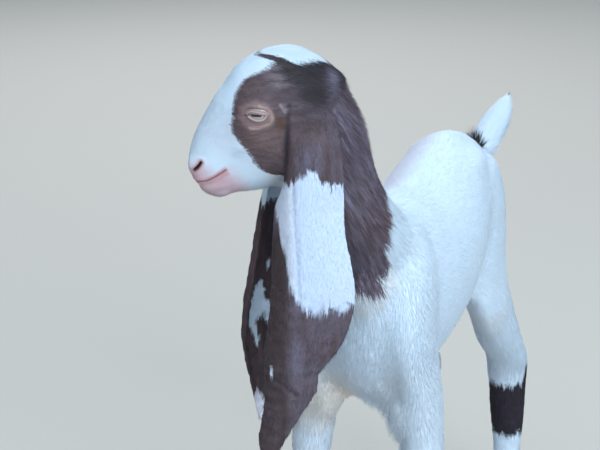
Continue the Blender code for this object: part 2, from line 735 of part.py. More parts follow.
def build():
    for obj in list(bpy.data.objects):
        bpy.data.objects.remove(obj)
    flesh = smooth_flesh()
    parts = part_flesh(thinned(flesh, "fine", FINE_TRIANGLES),
                       thinned(flesh, "coarse", COARSE_TRIANGLES))
    bpy.data.objects.remove(flesh)
    ears(parts)
    parts["head"] = face_cuts(parts["head"])
    eyes()
    feet(parts)
    for name, obj in parts.items():
        colour = SKIN_WHITE
        if name in ("head", "neck"):
            colour = SKIN_BROWN
        if name.startswith("ear"):
            colour = SKIN_SLATE
        finish(obj, colour)
    center_on_floor()


build()
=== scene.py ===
"""Looks of the goat kid: one skin with lids and lips, the coat's tufts, eyes and claws.

Places are worked out in centimetres in the kid's own directions, forward, left and up from
the floor under its body, and turned into metres by world().
"""
import itertools
import math

import bmesh
import bpy
import numpy as np
from mathutils import Matrix, Vector
from mathutils.bvhtree import BVHTree

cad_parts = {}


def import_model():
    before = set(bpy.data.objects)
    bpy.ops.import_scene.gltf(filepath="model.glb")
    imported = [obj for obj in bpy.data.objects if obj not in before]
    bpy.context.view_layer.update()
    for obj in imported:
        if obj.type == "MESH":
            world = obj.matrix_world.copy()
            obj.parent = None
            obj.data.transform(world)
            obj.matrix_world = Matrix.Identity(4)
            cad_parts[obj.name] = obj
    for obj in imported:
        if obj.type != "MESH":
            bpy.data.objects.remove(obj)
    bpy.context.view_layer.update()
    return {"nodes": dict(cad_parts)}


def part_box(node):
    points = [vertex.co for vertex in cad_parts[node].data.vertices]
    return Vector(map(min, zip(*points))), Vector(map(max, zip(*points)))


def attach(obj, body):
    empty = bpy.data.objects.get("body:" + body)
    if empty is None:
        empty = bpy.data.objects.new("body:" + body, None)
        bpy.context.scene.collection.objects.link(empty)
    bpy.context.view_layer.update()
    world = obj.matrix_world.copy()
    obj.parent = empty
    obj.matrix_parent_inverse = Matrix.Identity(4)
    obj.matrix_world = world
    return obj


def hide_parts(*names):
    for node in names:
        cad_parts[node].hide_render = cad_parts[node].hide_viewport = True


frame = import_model()

# Sizes shared with the solids
HEAD_TURN = math.radians(-67.3)
HEAD_DIP = math.radians(38.0)
EYE_LINE = np.array((16.17, -6.66, 50.06))
EYE_PLACE = np.array((-0.77, 0.58, 2.6))
EYE_RADIUS = 0.95
EYE_FACING = np.array((0.22, 0.12, 1.0))
EYE_SLANT = math.radians(-38.0)
EYE_HALF = (0.64, 0.14, 0.32)        # half length of the opening, and its height above and below
# The pale fold behind and below the eye, in the side view
EYE_FOLD = np.array(((-0.55, 0.42), (-0.82, -0.10), (-0.85, -0.50), (-0.72, -0.91),
                     (-0.35, -1.09), (0.57, -0.80), (1.02, -0.45)))
EAR_ROOT = np.array((-3.1, -2.4, 3.3))
NOSTRIL = np.array(((5.27, 0.08), (5.55, -0.03), (5.85, -0.11), (6.12, -0.13)))
MOUTH_CENTRE = 3.85
MOUTH_LINE = ((0.0, 0.14, 0.27, 0.45, 0.64, 0.82, 1.0),
              (-0.82, -0.88, -1.04, -1.34, -1.45, -1.49, -1.50))
MOUTH_TURN = math.radians(84)
NECK_LINE = np.array(((6.5, 0.0, 36.5, 0), (9.5, -0.5, 39.6, -14), (12.2, -1.6, 43.4, -34),
                      (13.5, -2.3, 47.0, -54), (14.2, -2.8, 50.3, -67), (14.6, -3.3, 52.5, -67)))

LEGS = [f"{kind}_{part}_{side}" for kind in ("fore", "hind") for side in ("left", "right")
        for part in ("leg", "cannon", "foot")]
FLESH = ["torso", "neck", "head", "tail", "ear_left", "ear_right"] + LEGS
EARS = {"ear_left": 1, "ear_right": -1}

# The skin's making
SWELL = 0.025                        # closes the gaps between nodes before they become one skin
VOXEL = 0.14
CELL = 0.36                          # the body's points closer than this become one
CELL_SPAN = 1024                     # cells on each side, more than the body takes
EAR_SHARE = 0.55                     # of the ears' triangles that stay
DOME = 1.09                          # radius of the closed lids, before the eyes are opened
BEHIND_BALL = 0.62                   # how near the eye's middle the skin goes under the lids
CLAW_VOXELS = {"hoof": 0.0012, "dewclaw": 0.0008}

# How much of the body's smoothing each region takes
SOFTNESS = {"torso": 1.0, "neck": 1.0, "head": 0.0, "tail": 0.1, "ear": 0.0, "leg": 0.85,
            "cannon": 0.25, "foot": 0.25}
# Depth of the coat over the skin, region by region
DEPTH = {"torso": 0.22, "neck": 0.20, "head": 0.06, "tail": 0.10, "ear": 0.06, "leg": 0.14,
         "cannon": 0.11, "foot": 0.09}

# Colours of the coat and the bare skin
# The coat's white, with the blue cast of cool shade light painted into it
WHITE = np.array((0.645, 0.770, 0.925))
# CREAM and TAN are mostly painted warm light bounced from below, on throat, underside, armpits and
# thighs; on the forelegs CREAM is random tone
CREAM = np.array((0.70, 0.60, 0.50))
TAN = np.array((0.52, 0.34, 0.22))
BROWN = np.array((0.093, 0.059, 0.065))
WARM = np.array((0.175, 0.120, 0.126))
# SLATE is the bluish grey of dark hair catching the cool light: a painted sheen
SLATE = np.array((0.112, 0.100, 0.144))
DARK = np.array((0.038, 0.030, 0.042))
BLACK = np.array((0.018, 0.014, 0.022))
OCHRE = np.array((0.090, 0.046, 0.028))
BARE = np.array((0.235, 0.162, 0.162))
LID = np.array((0.43, 0.34, 0.35))
PINK = np.array((0.50, 0.29, 0.33))
PALE_HAIR = np.array((0.30, 0.26, 0.29))

# Outlines of the dark patch, seen from the side: ahead of the eye and up from it
PATCH_FRONT = ((-2.67, 3.83), (-3.19, 3.03), (-3.57, 2.53), (-3.12, 2.58), (-2.58, 2.51),
               (-1.85, 2.69), (-1.08, 2.8), (-0.32, 2.7), (0.35, 2.34), (0.9, 1.78),
               (1.34, 1.34), (2.08, 0.74), (2.39, 0.2), (2.36, -0.42), (2.26, -1.38),
               (2.4, -2.16), (2.49, -2.87), (2.42, -3.52), (2.09, -4.07), (1.42, -4.68),
               (1.39, -5.2))
PATCH_REAR = ((0.6, -7.5), (-9.5, -8.0), (-9.5, 0.0))
PATCH_TOP = ((-6.8, -0.08), (-6.52, 0.43), (-6.1, 0.86), (-5.52, 1.11), (-4.66, 1.49),
             (-4.33, 2.04), (-4.17, 2.56), (-3.43, 3.33), (-2.76, 3.95))
HEAD_PATCH = np.array(PATCH_FRONT + PATCH_REAR + PATCH_TOP)
# White of the near ear: ahead of its root and down from it
EAR_WHITE = np.array(((2.9, 4.5), (2.6, 6.5), (2.3, 7.5), (2.0, 8.9), (1.7, 10.0), (1.55, 11.2),
                      (1.25, 12.4), (0.85, 13.8), (-0.1, 14.2), (-1.6, 14.2), (-2.75, 14.1),
                      (-4.6, 13.6), (-4.6, 4.3), (-2.35, 4.4), (-2.1, 4.4), (-1.6, 4.35),
                      (-1.0, 4.2), (-0.65, 3.5), (-0.3, 3.0), (0.7, 3.7), (1.35, 4.35),
                      (1.85, 4.3)))
EAR_FOLD = np.array(((1.3, 4.0), (1.15, 7.0), (0.95, 10.0), (0.8, 13.6)))
EAR_CREASE = np.array(((2.7, 20.0), (1.9, 20.4), (1.0, 21.2)))
# Lines on the head, seen from the side: the fold before the ear, along which a shadow is painted,
# the painted sheen behind the cap and a pale line
EAR_FRONT = np.array(((-2.4, -0.8), (-1.3, -2.0), (-0.55, -2.9), (0.5, -4.1), (1.4, -5.1)))
SHEEN_LINE = np.array(((-6.5, -0.3), (-5.7, -1.6), (-5.2, -2.9), (-5.0, -4.2)))
PALE_LINE = np.array(((-1.86, -0.40), (-1.81, -1.11)))
CROUP_PATCH = (-19.7, -0.5, 39.9)
POLL = (14.0, -1.4, 53.8)
# Dark of the neck: how far back it reaches, height by height
NECK_EDGE = ((35.8, 37.5, 40.1, 42.5, 44.3, 46.5), (12.2, 11.9, 12.2, 11.2, 9.9, 7.4))
# White marks of the far ear: across and down from its root
FAR_MARK = np.array(((-12.75, 15.2), (-12.2, 15.2), (-12.1, 16.8), (-11.6, 17.2), (-11.45, 18.4),
                     (-11.5, 19.3), (-11.75, 19.5), (-11.95, 18.9), (-12.1, 18.5),
                     (-12.5, 18.3), (-12.75, 18.9), (-12.6, 20.2), (-12.45, 21.0),
                     (-12.75, 21.0), (-12.95, 19.9), (-13.05, 19.3), (-13.25, 19.2),
                     (-13.35, 18.2), (-13.2, 17.2), (-12.95, 16.2)))


# Places and directions
def unit(vectors):
    return vectors / np.maximum(np.linalg.norm(vectors, axis=-1, keepdims=True), 1e-12)


def head_directions():
    """The face's own directions: ahead towards the lips, up towards the brow, left."""
    turn, dip = HEAD_TURN, HEAD_DIP
    ahead = np.array((math.cos(dip) * math.cos(turn), math.cos(dip) * math.sin(turn),
                      -math.sin(dip)))
    left = np.array((-math.sin(turn), math.cos(turn), 0.0))
    return np.stack((ahead, np.cross(ahead, left), left))


HEAD_AXES = head_directions()
LEVEL_AHEAD = np.array((math.cos(HEAD_TURN), math.sin(HEAD_TURN), 0.0))
TO_WORLD = np.array((-0.01, -0.01, 0.01))


def to_head(points):
    return (points - EYE_LINE) @ HEAD_AXES.T


def from_head(coords):
    return np.asarray(coords, float) @ HEAD_AXES + EYE_LINE


def eye_center(side):
    return from_head(EYE_PLACE * (1, 1, side))


def solids_shift():
    """How far the solids were moved to stand over the origin, read from the left eye."""
    low, high = (np.array(corner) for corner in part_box("eye_left"))
    return (low + high) / 2 - eye_center(1) * TO_WORLD


SHIFT = solids_shift()


def world(points):
    return points * TO_WORLD + SHIFT


def goat(points):
    return (points - SHIFT) / TO_WORLD


def eye_axes(side):
    """Along the slit towards the nose, up across it and out of the eye."""
    ahead, up, left = HEAD_AXES
    out = unit(ahead * EYE_FACING[0] + up * EYE_FACING[1] + left * side * EYE_FACING[2])
    flat = ahead * math.cos(EYE_SLANT) - up * math.sin(EYE_SLANT)
    along = unit(flat - out * flat.dot(out))
    return np.stack((along, np.cross(along, out) * side, out))


def ease(low, high, value):
    """Smoothly from 0 at low to 1 at high."""
    share = np.clip((value - low) / (high - low), 0, 1)
    return share * share * (3 - 2 * share)


def bump(value, center, width):
    return np.exp(-((value - center) / width) ** 2)


def round_bump(x, y, width):
    return bump(np.hypot(x, y), 0, width)


def mix(first, second, share):
    """Between two colours or rows of colours."""
    share = np.asarray(share, float)[..., None]
    return first * (1 - share) + second * share


def layered(colour, *layers):
    """A colour with others worked in one after another, each by its share."""
    for other, share in layers:
        colour = mix(colour, other, share)
    return colour


def rows_of(*columns):
    return np.stack(np.broadcast_arrays(*columns), axis=1).astype(float)


def noise(points, size, seed):
    """Smooth random numbers from -1 to 1 over space, a swing about every size centimetres."""
    table = np.random.default_rng(seed).uniform(-1, 1, 4096)
    scaled = points / size
    cell = np.floor(scaled).astype(np.int64)
    part = scaled - cell
    part = part * part * (3 - 2 * part)
    total = np.zeros(len(points))
    for corner in itertools.product((0, 1), repeat=3):
        c = cell + corner
        value = table[(c[:, 0] * 73856093 ^ c[:, 1] * 19349663 ^ c[:, 2] * 83492791) % 4096]
        total += value * np.prod(np.where(corner, part, 1 - part), axis=1)
    return total


def inside(points, outline):
    """Which points of a plane lie inside a closed outline."""
    x, y = points
    found = np.zeros(len(x), bool)
    for (x0, y0), (x1, y1) in zip(outline, np.roll(outline, -1, axis=0)):
        crosses = (y0 > y) != (y1 > y)
        found ^= crosses & (x < (x1 - x0) * (y - y0) / ((y1 - y0) or 1e-9) + x0)
    return found


def line_distance(points, line):
    """Distance of points of a plane from a line of several pieces, and how far along it."""
    points = np.stack(points, axis=1)
    best, where = np.full(len(points), 1e9), np.zeros(len(points))
    for k, (start, end) in enumerate(zip(line, line[1:])):
        way = end - start
        share = np.clip((points - start) @ way / (way @ way), 0, 1)
        gap = np.linalg.norm(points - start - share[:, None] * way, axis=1)
        closer = gap < best
        best[closer], where[closer] = gap[closer], k + share[closer]
    return best, where


# Meshes as arrays
def read(rows, key, width=3, kind=np.float32):
    values = np.empty(len(rows) * width, kind)
    rows.foreach_get(key, values)
    return values.reshape(-1, width)


def has_area(faces):
    """Which triangles have three different corners."""
    return ((faces[:, 0] != faces[:, 1]) & (faces[:, 1] != faces[:, 2])
            & (faces[:, 0] != faces[:, 2]))


def crossed(points, faces):
    """Each triangle's normal, twice its area long."""
    corners = points[faces]
    return np.cross(corners[:, 1] - corners[:, 0], corners[:, 2] - corners[:, 0])


def summed(index, values, count):
    """Sums of the rows of values that share a number in index."""
    return np.stack([np.bincount(index, weights=column, minlength=count) for column in values.T],
                    axis=1)


def node_arrays(name):
    """Corner places in centimetres and triangles of a CAD node, its loose triangles joined."""
    mesh = frame["nodes"][name].data
    places = read(mesh.vertices, "co").astype(float)
    faces = read(mesh.loops, "vertex_index", 1, np.int32)[:, 0]
    _, first, index = np.unique(np.round(places * 1e6).astype(np.int64), axis=0,
                                return_index=True, return_inverse=True)
    faces = index.reshape(-1)[faces].reshape(-1, 3)
    return goat(places[first]), faces[has_area(faces)]


def mesh_of(name, points, faces):
    mesh = bpy.data.meshes.new(name)
    mesh.from_pydata(world(points).tolist(), [], faces.tolist())
    mesh.update()
    return mesh


def object_of(name, mesh):
    obj = bpy.data.objects.new(name, mesh)
    bpy.context.scene.collection.objects.link(obj)
    return obj


def arrays_of(mesh):
    """Places in centimetres and triangles of a mesh."""
    mesh.calc_loop_triangles()
    return (goat(read(mesh.vertices, "co").astype(float)),
            read(mesh.loop_triangles, "vertices", 3, np.int32))


def applied(obj):
    """The object's mesh with its modifiers worked in; the object goes."""
    bpy.context.view_layer.update()
    graph = bpy.context.evaluated_depsgraph_get()
    mesh = bpy.data.meshes.new_from_object(obj.evaluated_get(graph))
    bpy.data.objects.remove(obj)
    return mesh


def reworked(mesh, work):
    """The mesh after some work on its points and faces."""
    bm = bmesh.new()
    bm.from_mesh(mesh)
    work(bm)
    bm.to_mesh(mesh)
    bm.free()
    return mesh


def edges_of(faces):
    ends = np.concatenate([faces[:, [0, 1]], faces[:, [1, 2]], faces[:, [2, 0]]]).astype(np.int64)
    count = ends.max() + 1
    keys = np.unique(ends.min(axis=1) * count + ends.max(axis=1))
    return np.stack((keys // count, keys % count), axis=1)


def spread(values, edges, rounds, strength=1.0):
    """Values at a mesh's points, each drawn towards the mean of its neighbours."""
    count = len(values)
    ends = np.concatenate([edges[:, 0], edges[:, 1]])
    others = np.concatenate([edges[:, 1], edges[:, 0]])
    number = np.maximum(np.bincount(ends, minlength=count), 1)
    flat = values.reshape(count, -1).copy()
    strength = np.broadcast_to(np.asarray(strength, float), (count,))[:, None]
    for _ in range(rounds):
        flat += strength * (summed(ends, flat[others], count) / number[:, None] - flat)
    return flat.reshape(values.shape)


def normals_of(points, faces):
    each = crossed(points, faces)
    return unit(sum(summed(faces[:, j], each, len(points)) for j in range(3)))


# The skin
def ball(center, radius, axes=np.eye(3), rings=24):
    bm = bmesh.new()
    bmesh.ops.create_uvsphere(bm, u_segments=2 * rings, v_segments=rings, radius=radius)
    bmesh.ops.triangulate(bm, faces=bm.faces)
    points = np.array([v.co for v in bm.verts]) @ axes + center
    faces = np.array([[v.index for v in face.verts] for face in bm.faces])
    bm.free()
    return points, faces


def joined(parts):
    points, faces, count = [], [], 0
    for places, triangles in parts:
        points.append(places)
        faces.append(triangles + count)
        count += len(places)
    return np.concatenate(points), np.concatenate(faces)


def whole_flesh():
    """All nodes of flesh fused into one even surface, the lids closed over the eyes."""
    parts = []
    for name in FLESH:
        points, faces = node_arrays(name)
        parts.append((points + SWELL * normals_of(points, faces), faces))
    parts += [ball(eye_center(side), DOME) for side in (1, -1)]
    obj = object_of("flesh", mesh_of("flesh", *joined(parts)))
    even = obj.modifiers.new("even", "REMESH")
    even.mode = "VOXEL"
    even.voxel_size = VOXEL / 100
    return arrays_of(applied(obj))


def nearest_nodes(points):
    """For each point the number in FLESH of the node nearest to it."""
    parts = [node_arrays(name) for name in FLESH]
    owner = np.repeat(np.arange(len(FLESH)), [len(faces) for _, faces in parts])
    places, faces = joined(parts)
    tree = BVHTree.FromPolygons(places.tolist(), faces.tolist())
    return owner[[tree.find_nearest(point)[2] for point in points.tolist()]]


def kind_of(name):
    for kind in ("ear", "cannon", "foot", "leg"):
        if kind in name:
            return kind
    return name


KINDS = [kind_of(name) for name in FLESH]
KIND_NAMES = sorted(set(KINDS))


def is_kind(regions, *kinds):
    wanted = [i for i, kind in enumerate(KINDS) if kind in kinds]
    return np.isin(regions, wanted)


def by_region(table, regions):
    """A table's value for each region's kind."""
    return np.array([table[kind] for kind in KINDS])[regions]


def distance(points, place):
    return np.linalg.norm(points - place, axis=1)


def largest_body(points, faces):
    """The mesh without loose scraps."""
    group = np.arange(len(points))
    edges = edges_of(faces)
    while True:
        ends = group[edges]
        apart = ends[:, 0] != ends[:, 1]
        if not apart.any():
            break
        np.minimum.at(group, ends[apart].max(axis=1), ends[apart].min(axis=1))
        while (group[group] != group).any():
            group = group[group]
    main = np.bincount(group).argmax()
    kept = group == main
    number = np.cumsum(kept) - 1
    return points[kept], number[faces[kept[faces].all(axis=1)]]


def drawn_in(points, faces):
    """The surface smoothed and drawn in by the depth of the coat."""
    regions = nearest_nodes(points)
    edges = edges_of(faces)
    ear = spread(is_kind(regions, "ear").astype(float), edges, 4)
    soft = spread(by_region(SOFTNESS, regions), edges, 8)
    roots = np.minimum(*[distance(points, from_head(EAR_ROOT * (1, 1, side)))
                         for side in (1, -1)])
    points = spread(points, edges, 6, 0.5 + 0.1 * soft)
    points = spread(points, edges, 6, -0.53 * ear)
    points = spread(points, edges, 44, 0.7 * soft * soft)
    points = spread(points, edges, 24, 0.6 * ease(3.0, 1.2, roots))
    poll = distance(points, POLL)
    points = spread(points, edges, 40, 0.7 * ease(3.2, 1.5, poll))
    depth = by_region(DEPTH, regions)
    tail = is_kind(regions, "tail")
    depth[tail] *= np.interp(points[tail, 0], (-29.0, -24.0), (0.15, 0.3))
    a, b, _ = to_head(points).T
    forward, left, up = points.T
    top = np.maximum(ease(1.0, 3.4, b),
                     ease(-4.6, -6.6, a) * ease(-1.2, -0.3, b))
    depth += 0.13 * top * is_kind(regions, "head", "neck")
    hock = (is_kind(regions, "leg", "cannon") * ease(-16.5, -18.5, forward)
            * ease(9, 12, up))
    depth *= 1 - 0.95 * hock * ease(21, 19, up)
    depth *= (1 - 0.8 * ease(38, 39, up) * ease(0, -2, left)
              * ease(0, -4, forward))
    depth = spread(depth, edges, 10)
    depth -= 0.03 * is_kind(regions, "head") * ease(2.0, 5.0, a)
    normals = spread(normals_of(points, faces), edges, 3)
    points = points - unit(normals) * (depth + SWELL)[:, None]
    # The groin is hollow before the thighs
    hollow = (ease(-15, -12, forward) * ease(-3.5, -7, forward)
              * ease(29, 27, up) * ease(20.5, 23.5, up)
              * ease(5.5, 4.0, np.abs(left)))
    points += hollow[:, None] * rows_of(-0.25, 0.55 * np.tanh(left), 0.5 * ease(24, 26, up))
    return points, regions


def gathered(points, faces, regions):
    """Fewer triangles on the body: the points of each small cell there become one."""
    fine = is_kind(regions, "head", "ear")
    cells = np.floor(points / CELL).astype(np.int64) + CELL_SPAN // 2
    keys = (cells[:, 0] * CELL_SPAN + cells[:, 1]) * CELL_SPAN + cells[:, 2]
    keys[fine] = -1 - np.arange(fine.sum())
    _, first, index = np.unique(keys, return_index=True, return_inverse=True)
    places = summed(index, points, len(first)) / np.bincount(index)[:, None]
    faces = index[faces]
    faces = faces[has_area(faces)]
    low, middle, high = np.sort(faces, axis=1).T
    _, same, times = np.unique((low * len(places) + middle) * len(places) + high,
                               return_inverse=True, return_counts=True)
    faces = faces[times[same] == 1]
    places = spread(places, edges_of(faces), 2, 0.4 * ~fine[first])
    return places, faces


def closed(points, faces):
    """The surface with any small hole filled."""
    def work(bm):
        bmesh.ops.holes_fill(bm, edges=[edge for edge in bm.edges if edge.is_boundary], sides=0)
        bmesh.ops.triangulate(bm, faces=bm.faces)

    return arrays_of(reworked(mesh_of("closed", points, faces), work))


def thinned(points, faces, ear):
    """Fewer triangles on the ears."""
    obj = object_of("thin", mesh_of("thin", points, faces))
    group = obj.vertex_groups.new(name="ears")
    group.add(np.flatnonzero(ear).tolist(), 1.0, "REPLACE")
    few = obj.modifiers.new("few", "DECIMATE")
    few.ratio = 1 - (1 - EAR_SHARE) * ear[faces].all(axis=1).mean()
    few.vertex_group = "ears"
    few.vertex_group_factor = 1.0
    return arrays_of(applied(obj))


def finer(points, faces, wanted):
    """Triangles between the wanted points split in four."""
    def work(bm):
        edges = [edge for edge in bm.edges if all(wanted[end.index] for end in edge.verts)]
        bmesh.ops.subdivide_edges(bm, edges=edges, cuts=1, use_grid_fill=True)
        bmesh.ops.triangulate(bm, faces=bm.faces)

    return arrays_of(reworked(mesh_of("finer", points, faces), work))


def near_eyes(points, reach):
    return sum(distance(points, eye_center(side)) < reach for side in (1, -1)) > 0


def mouth_gap(head):
    """Height over the line of the lips, and how far round towards the corner, 0 to 1 and past."""
    a, b, w = head.T
    turn = np.arctan2(np.abs(w), a - MOUTH_CENTRE)
    share = turn / MOUTH_TURN
    return b - np.interp(share, *MOUTH_LINE), share


def nostril_gap(head):
    """Distance from the nostril's line in the side view, and how far along it, 0 to 1."""
    a, b, w = head.T
    gap, where = line_distance((a, b), NOSTRIL)
    gap = np.where(np.abs(w) > 0.35, gap, 9.0)
    return gap, where / (len(NOSTRIL) - 1)


def fine_face(points, faces):
    """Finer triangles round the eyes, the nostrils and the lips."""
    for eye, slit, lips in ((1.75, 0.60, 0.42), (1.25, 0.30, 0.20)):
        head = to_head(points)
        height, share = mouth_gap(head)
        near_lips = (np.abs(height) < lips) & (share < 1.15) & (head[:, 0] > 3.2)
        near_slit = (nostril_gap(head)[0] < slit) & (np.abs(head[:, 2]) < 2.4)
        points, faces = finer(points, faces, near_eyes(points, eye) | near_slit | near_lips)
    edge = sum(np.abs(lid_distance(points, side)[0] - 0.03) < 0.11 for side in (1, -1)) > 0
    return finer(points, faces, edge & near_eyes(points, 1.35))


def opening_outline(steps=96):
    """The open eye's outline in its own plane, from its front corner round over the top."""
    half, above, below = EYE_HALF
    points = []
    for k in range(steps):
        angle = 2 * math.pi * k / steps
        x, s = math.cos(angle), math.sin(angle)
        tall = above if s > 0 else below
        lean = 0.10 * x * abs(s)
        points.append((x * half, math.copysign(abs(s) ** 1.2, s) * tall + lean))
    return np.array(points)


def lid_distance(points, side):
    """Signed distance from the edge of the lids in the eye's plane, and place in its axes."""
    local = (points - eye_center(side)) @ eye_axes(side).T
    outline = opening_outline()
    near = np.flatnonzero(np.linalg.norm(local, axis=1) < 3)
    flat = (local[near, 0], local[near, 1])
    found, _ = line_distance(flat, np.vstack([outline, outline[:1]]))
    gap = np.full(len(points), 9.0)
    gap[near] = np.where(inside(flat, outline), -found, found)
    return gap, local


def lid_places(points, side):
    """What lids are made from, at each point: distance from their edge, the same a little
    uneven, place in the eye's axes, nearness to the front corner, distance from the tear line."""
    gap, local = lid_distance(points, side)
    x, y, _ = local.T
    wobble = gap + 0.05 * noise(local, 0.45, 30 + side)
    corner = ease(0.40, 0.62, x) * ease(1.35, 1.0, x)
    tear = np.hypot(np.clip(np.abs(x - 0.98) - 0.32, 0, 9), y + 0.05 + 0.30 * (x - 0.66))
    return gap, wobble, local, corner, tear


def eyes_opened(points, faces):
    """Lids shaped over the eyes, their edges raised and rounded, with the folds round them."""
    points = points.copy()
    for side in (1, -1):
        center = eye_center(side)
        near = np.flatnonzero(distance(points, center) < 2.2)
        normals = normals_of(points, faces)[near]
        gap, wobble, local, corner, tear = lid_places(points[near], side)
        x, y, z = local.T
        front = z > 0.1
        upper = ease(-0.05, 0.15, y) * ease(0.95, 0.6, np.abs(x))
        lower = ease(0.05, -0.2, y) * ease(0.75, 0.5, x)
        broken = 0.55 + 0.45 * noise(local, 0.30, 33 + side)
        rise = 0.075 * bump(gap, 0.08, 0.08)
        rise += (0.050 * bump(wobble, 0.50, 0.14) - 0.080 * bump(wobble, 0.32, 0.05)) * upper
        rise -= 0.045 * bump(wobble, 0.25, 0.05) * lower
        rise -= 0.045 * broken * (bump(wobble, 0.45, 0.05) + bump(wobble, 0.68, 0.05)) * lower
        rise -= 0.040 * broken * bump(wobble, 0.60, 0.06) * upper
        rise -= 0.045 * (bump(wobble, 0.17, 0.035) + broken * bump(wobble, 0.33, 0.04)) * corner
        rise -= 0.070 * bump(tear, 0, 0.06)
        ring, _ = line_distance(side_view(to_head(points[near])), EYE_FOLD)
        rise += ((0.065 * bump(ring, 0, 0.13) - 0.03 * bump(ring, 0.24, 0.07))
                 * ease(0.3, 0.5, gap))
        rise = np.where(gap > 0, rise, 0.075 * bump(0, 0.08, 0.08)) * front
        away = points[near] + normals * rise[:, None] - center
        far = np.linalg.norm(away, axis=1, keepdims=True)
        # Under the lids' edge the skin turns in behind the ball
        share = ((1 - ease(-0.10, 0.01, gap)) * front)[:, None]
        points[near] = center + away / far * (far * (1 - share) + BEHIND_BALL * share)
    return points


def face_shaped(points, faces):
    """Nostrils, lips and the cleft under the nose."""
    points = points.copy()
    normals = normals_of(points, faces)
    head = to_head(points)
    a, b, w = head.T
    front = (a > 3.0) & (np.abs(w) < 3.2) & (b < 2.4)
    gap, along = nostril_gap(head)
    reach = np.interp(along, (0, 0.25, 0.7, 1), (0.07, 0.11, 0.15, 0.12))
    pit = np.clip(1 - (gap / reach) ** 2, 0, 1) * front * (np.abs(w) > 0.35)
    wing = bump(gap, 0.30, 0.12) * front * (b > -0.6)
    height, share = mouth_gap(head)
    reached = (1 - ease(0.92, 1.06, share)) * (a > 3.3)
    groove = bump(height, 0, 0.055) * reached
    lips = (bump(height, 0.2, 0.13) + 0.8 * bump(height, -0.2, 0.13)) * reached
    cleft = (bump(w, 0, 0.07) * ease(-1.3, -1.0, b) * (1 - ease(0.0, 0.35, b))
             * (a > 5.2))
    full = round_bump(a - 6.6, b + 0.62, 0.45) * (np.abs(w) < 2)
    chin = ease(-1.3, -1.8, b) * ease(3.4, 4.4, a) * (height < -0.2)
    full = full + 0.45 * chin * noise(points, 0.55, 37)
    sunk = 0.10 * groove - 0.04 * lips - 0.04 * wing + 0.05 * cleft - 0.10 * full
    points -= normals * sunk[:, None]
    inward = -np.sign(w)[:, None] * HEAD_AXES[2] - 0.55 * HEAD_AXES[0]
    points += unit(inward) * (0.42 * pit)[:, None]
    return points


def ears_shaped(points, faces, regions):
    """The long fold down the near ear, its front strip turned back, and the crease across it."""
    points = points.copy()
    ear = np.flatnonzero(regions == FLESH.index("ear_left"))
    ahead, _, drop = ear_place(points[ear], 1)
    normals = normals_of(points, faces)[ear]
    outer = ease(0.1, 0.5, normals @ HEAD_AXES[2])
    fold, _ = line_distance((ahead, drop), EAR_FOLD)
    crease, _ = line_distance((ahead, drop), EAR_CREASE)
    deep = (0.10 * bump(fold, 0, 0.20) + 0.10 * bump(crease, 0, 0.22)) * outer
    low = ease(3.5, 6.0, drop) * ease(15.5, 13.0, drop)
    turned = 0.30 * ease(1.1, 2.6, ahead) * low
    points[ear] -= normals * deep[:, None] + HEAD_AXES[2] * turned[:, None]
    return points


def skin_arrays():
    points, faces = largest_body(*whole_flesh())
    points, regions = drawn_in(points, faces)
    points, faces = closed(*largest_body(*gathered(points, faces, regions)))
    points, faces = thinned(points, faces, is_kind(nearest_nodes(points), "ear"))
    points, faces = fine_face(points, faces)
    edges = edges_of(faces)
    close = near_eyes(points, 2.4) | (to_head(points)[:, 0] > 3.3) & (points[:, 2] > 40)
    points = spread(points, edges, 5, 0.5 * close)
    points = eyes_opened(points, faces)
    points = face_shaped(points, faces)
    points = spread(points, edges, 2, 0.25 * close)
    regions = nearest_nodes(points)
    return ears_shaped(points, faces, regions), faces, regions


# Markings
def side_view(head):
    """Places on the head as the side view shows them, from the eye's own place."""
    a, b, w = head.T
    return a + 0.177 * np.abs(w), b - 0.181 * np.abs(w)


def ear_place(points, side):
    """Ahead of, out from and down from an ear's root."""
    away = points - from_head(EAR_ROOT * (1, 1, side))
    return away @ LEVEL_AHEAD, away @ (HEAD_AXES[2] * side), -away[:, 2]


def stretched(points, way, share=0.8):
    """Places drawn together along a way, so that noise on them runs in streaks along it."""
    way = unit(np.array(way, float))
    return points - share * np.outer(points @ way, way)


def head_brown(points, ahead, up):
    """The dark coat of the head, brown round the eye and near black behind the cap, with painted
    sheen towards the back and a painted shadow along the fold before the ear.
    """
    streaks = noise(stretched(points, -HEAD_AXES[0] - 0.5 * HEAD_AXES[1]), 0.16, 5)
    patches = noise(points, 0.9, 22)
    rear = ease(-1.2, -3.4, ahead)
    sheen, pale_line, crease = (line_distance((ahead, up), line)[0]
                             for line in (SHEEN_LINE, PALE_LINE, EAR_FRONT))
    paler = round_bump(ahead + 3.0, (up - 1.3) * 0.7, 0.9)
    paler = paler + 0.6 * round_bump(ahead + 2.1, up + 1.3, 0.6)
    brown = layered(
        BROWN,
        # Painted sheen, patchy, strongest towards the back of the head
        (SLATE, np.clip(0.15 + 0.15 * patches + 0.4 * rear, 0, 1)),
        (WARM, 0.8 * round_bump(ahead - 0.6, up + 1.5, 1.7)),
        (OCHRE, 0.9 * round_bump((ahead + 1.0) * 1.4, (up + 1.6) * 0.8, 0.5)),
        (DARK * 0.62, 0.95 * ease(-2.4, -3.9, ahead) * ease(-3.2, -1.4, up)),
        (BROWN * 0.7, 0.7 * round_bump(ahead + 2.9, up + 3.5, 0.9)),
        # Painted sheen along the line behind the cap
        (SLATE * 1.4, np.clip(0.55 + 0.5 * patches, 0, 1) * bump(sheen, 0, 0.45)),
        (PALE_HAIR, 0.45 * np.clip(0.5 + 0.8 * streaks, 0, 1) * np.clip(paler, 0, 1)),
        (PALE_HAIR * 1.2, 0.7 * bump(pale_line, 0, 0.09)),
        # Painted shadow along the fold before the ear
        (DARK * 0.8, 0.85 * bump(crease, 0, 0.20)))
    return brown * (1 + 0.28 * streaks)[:, None]


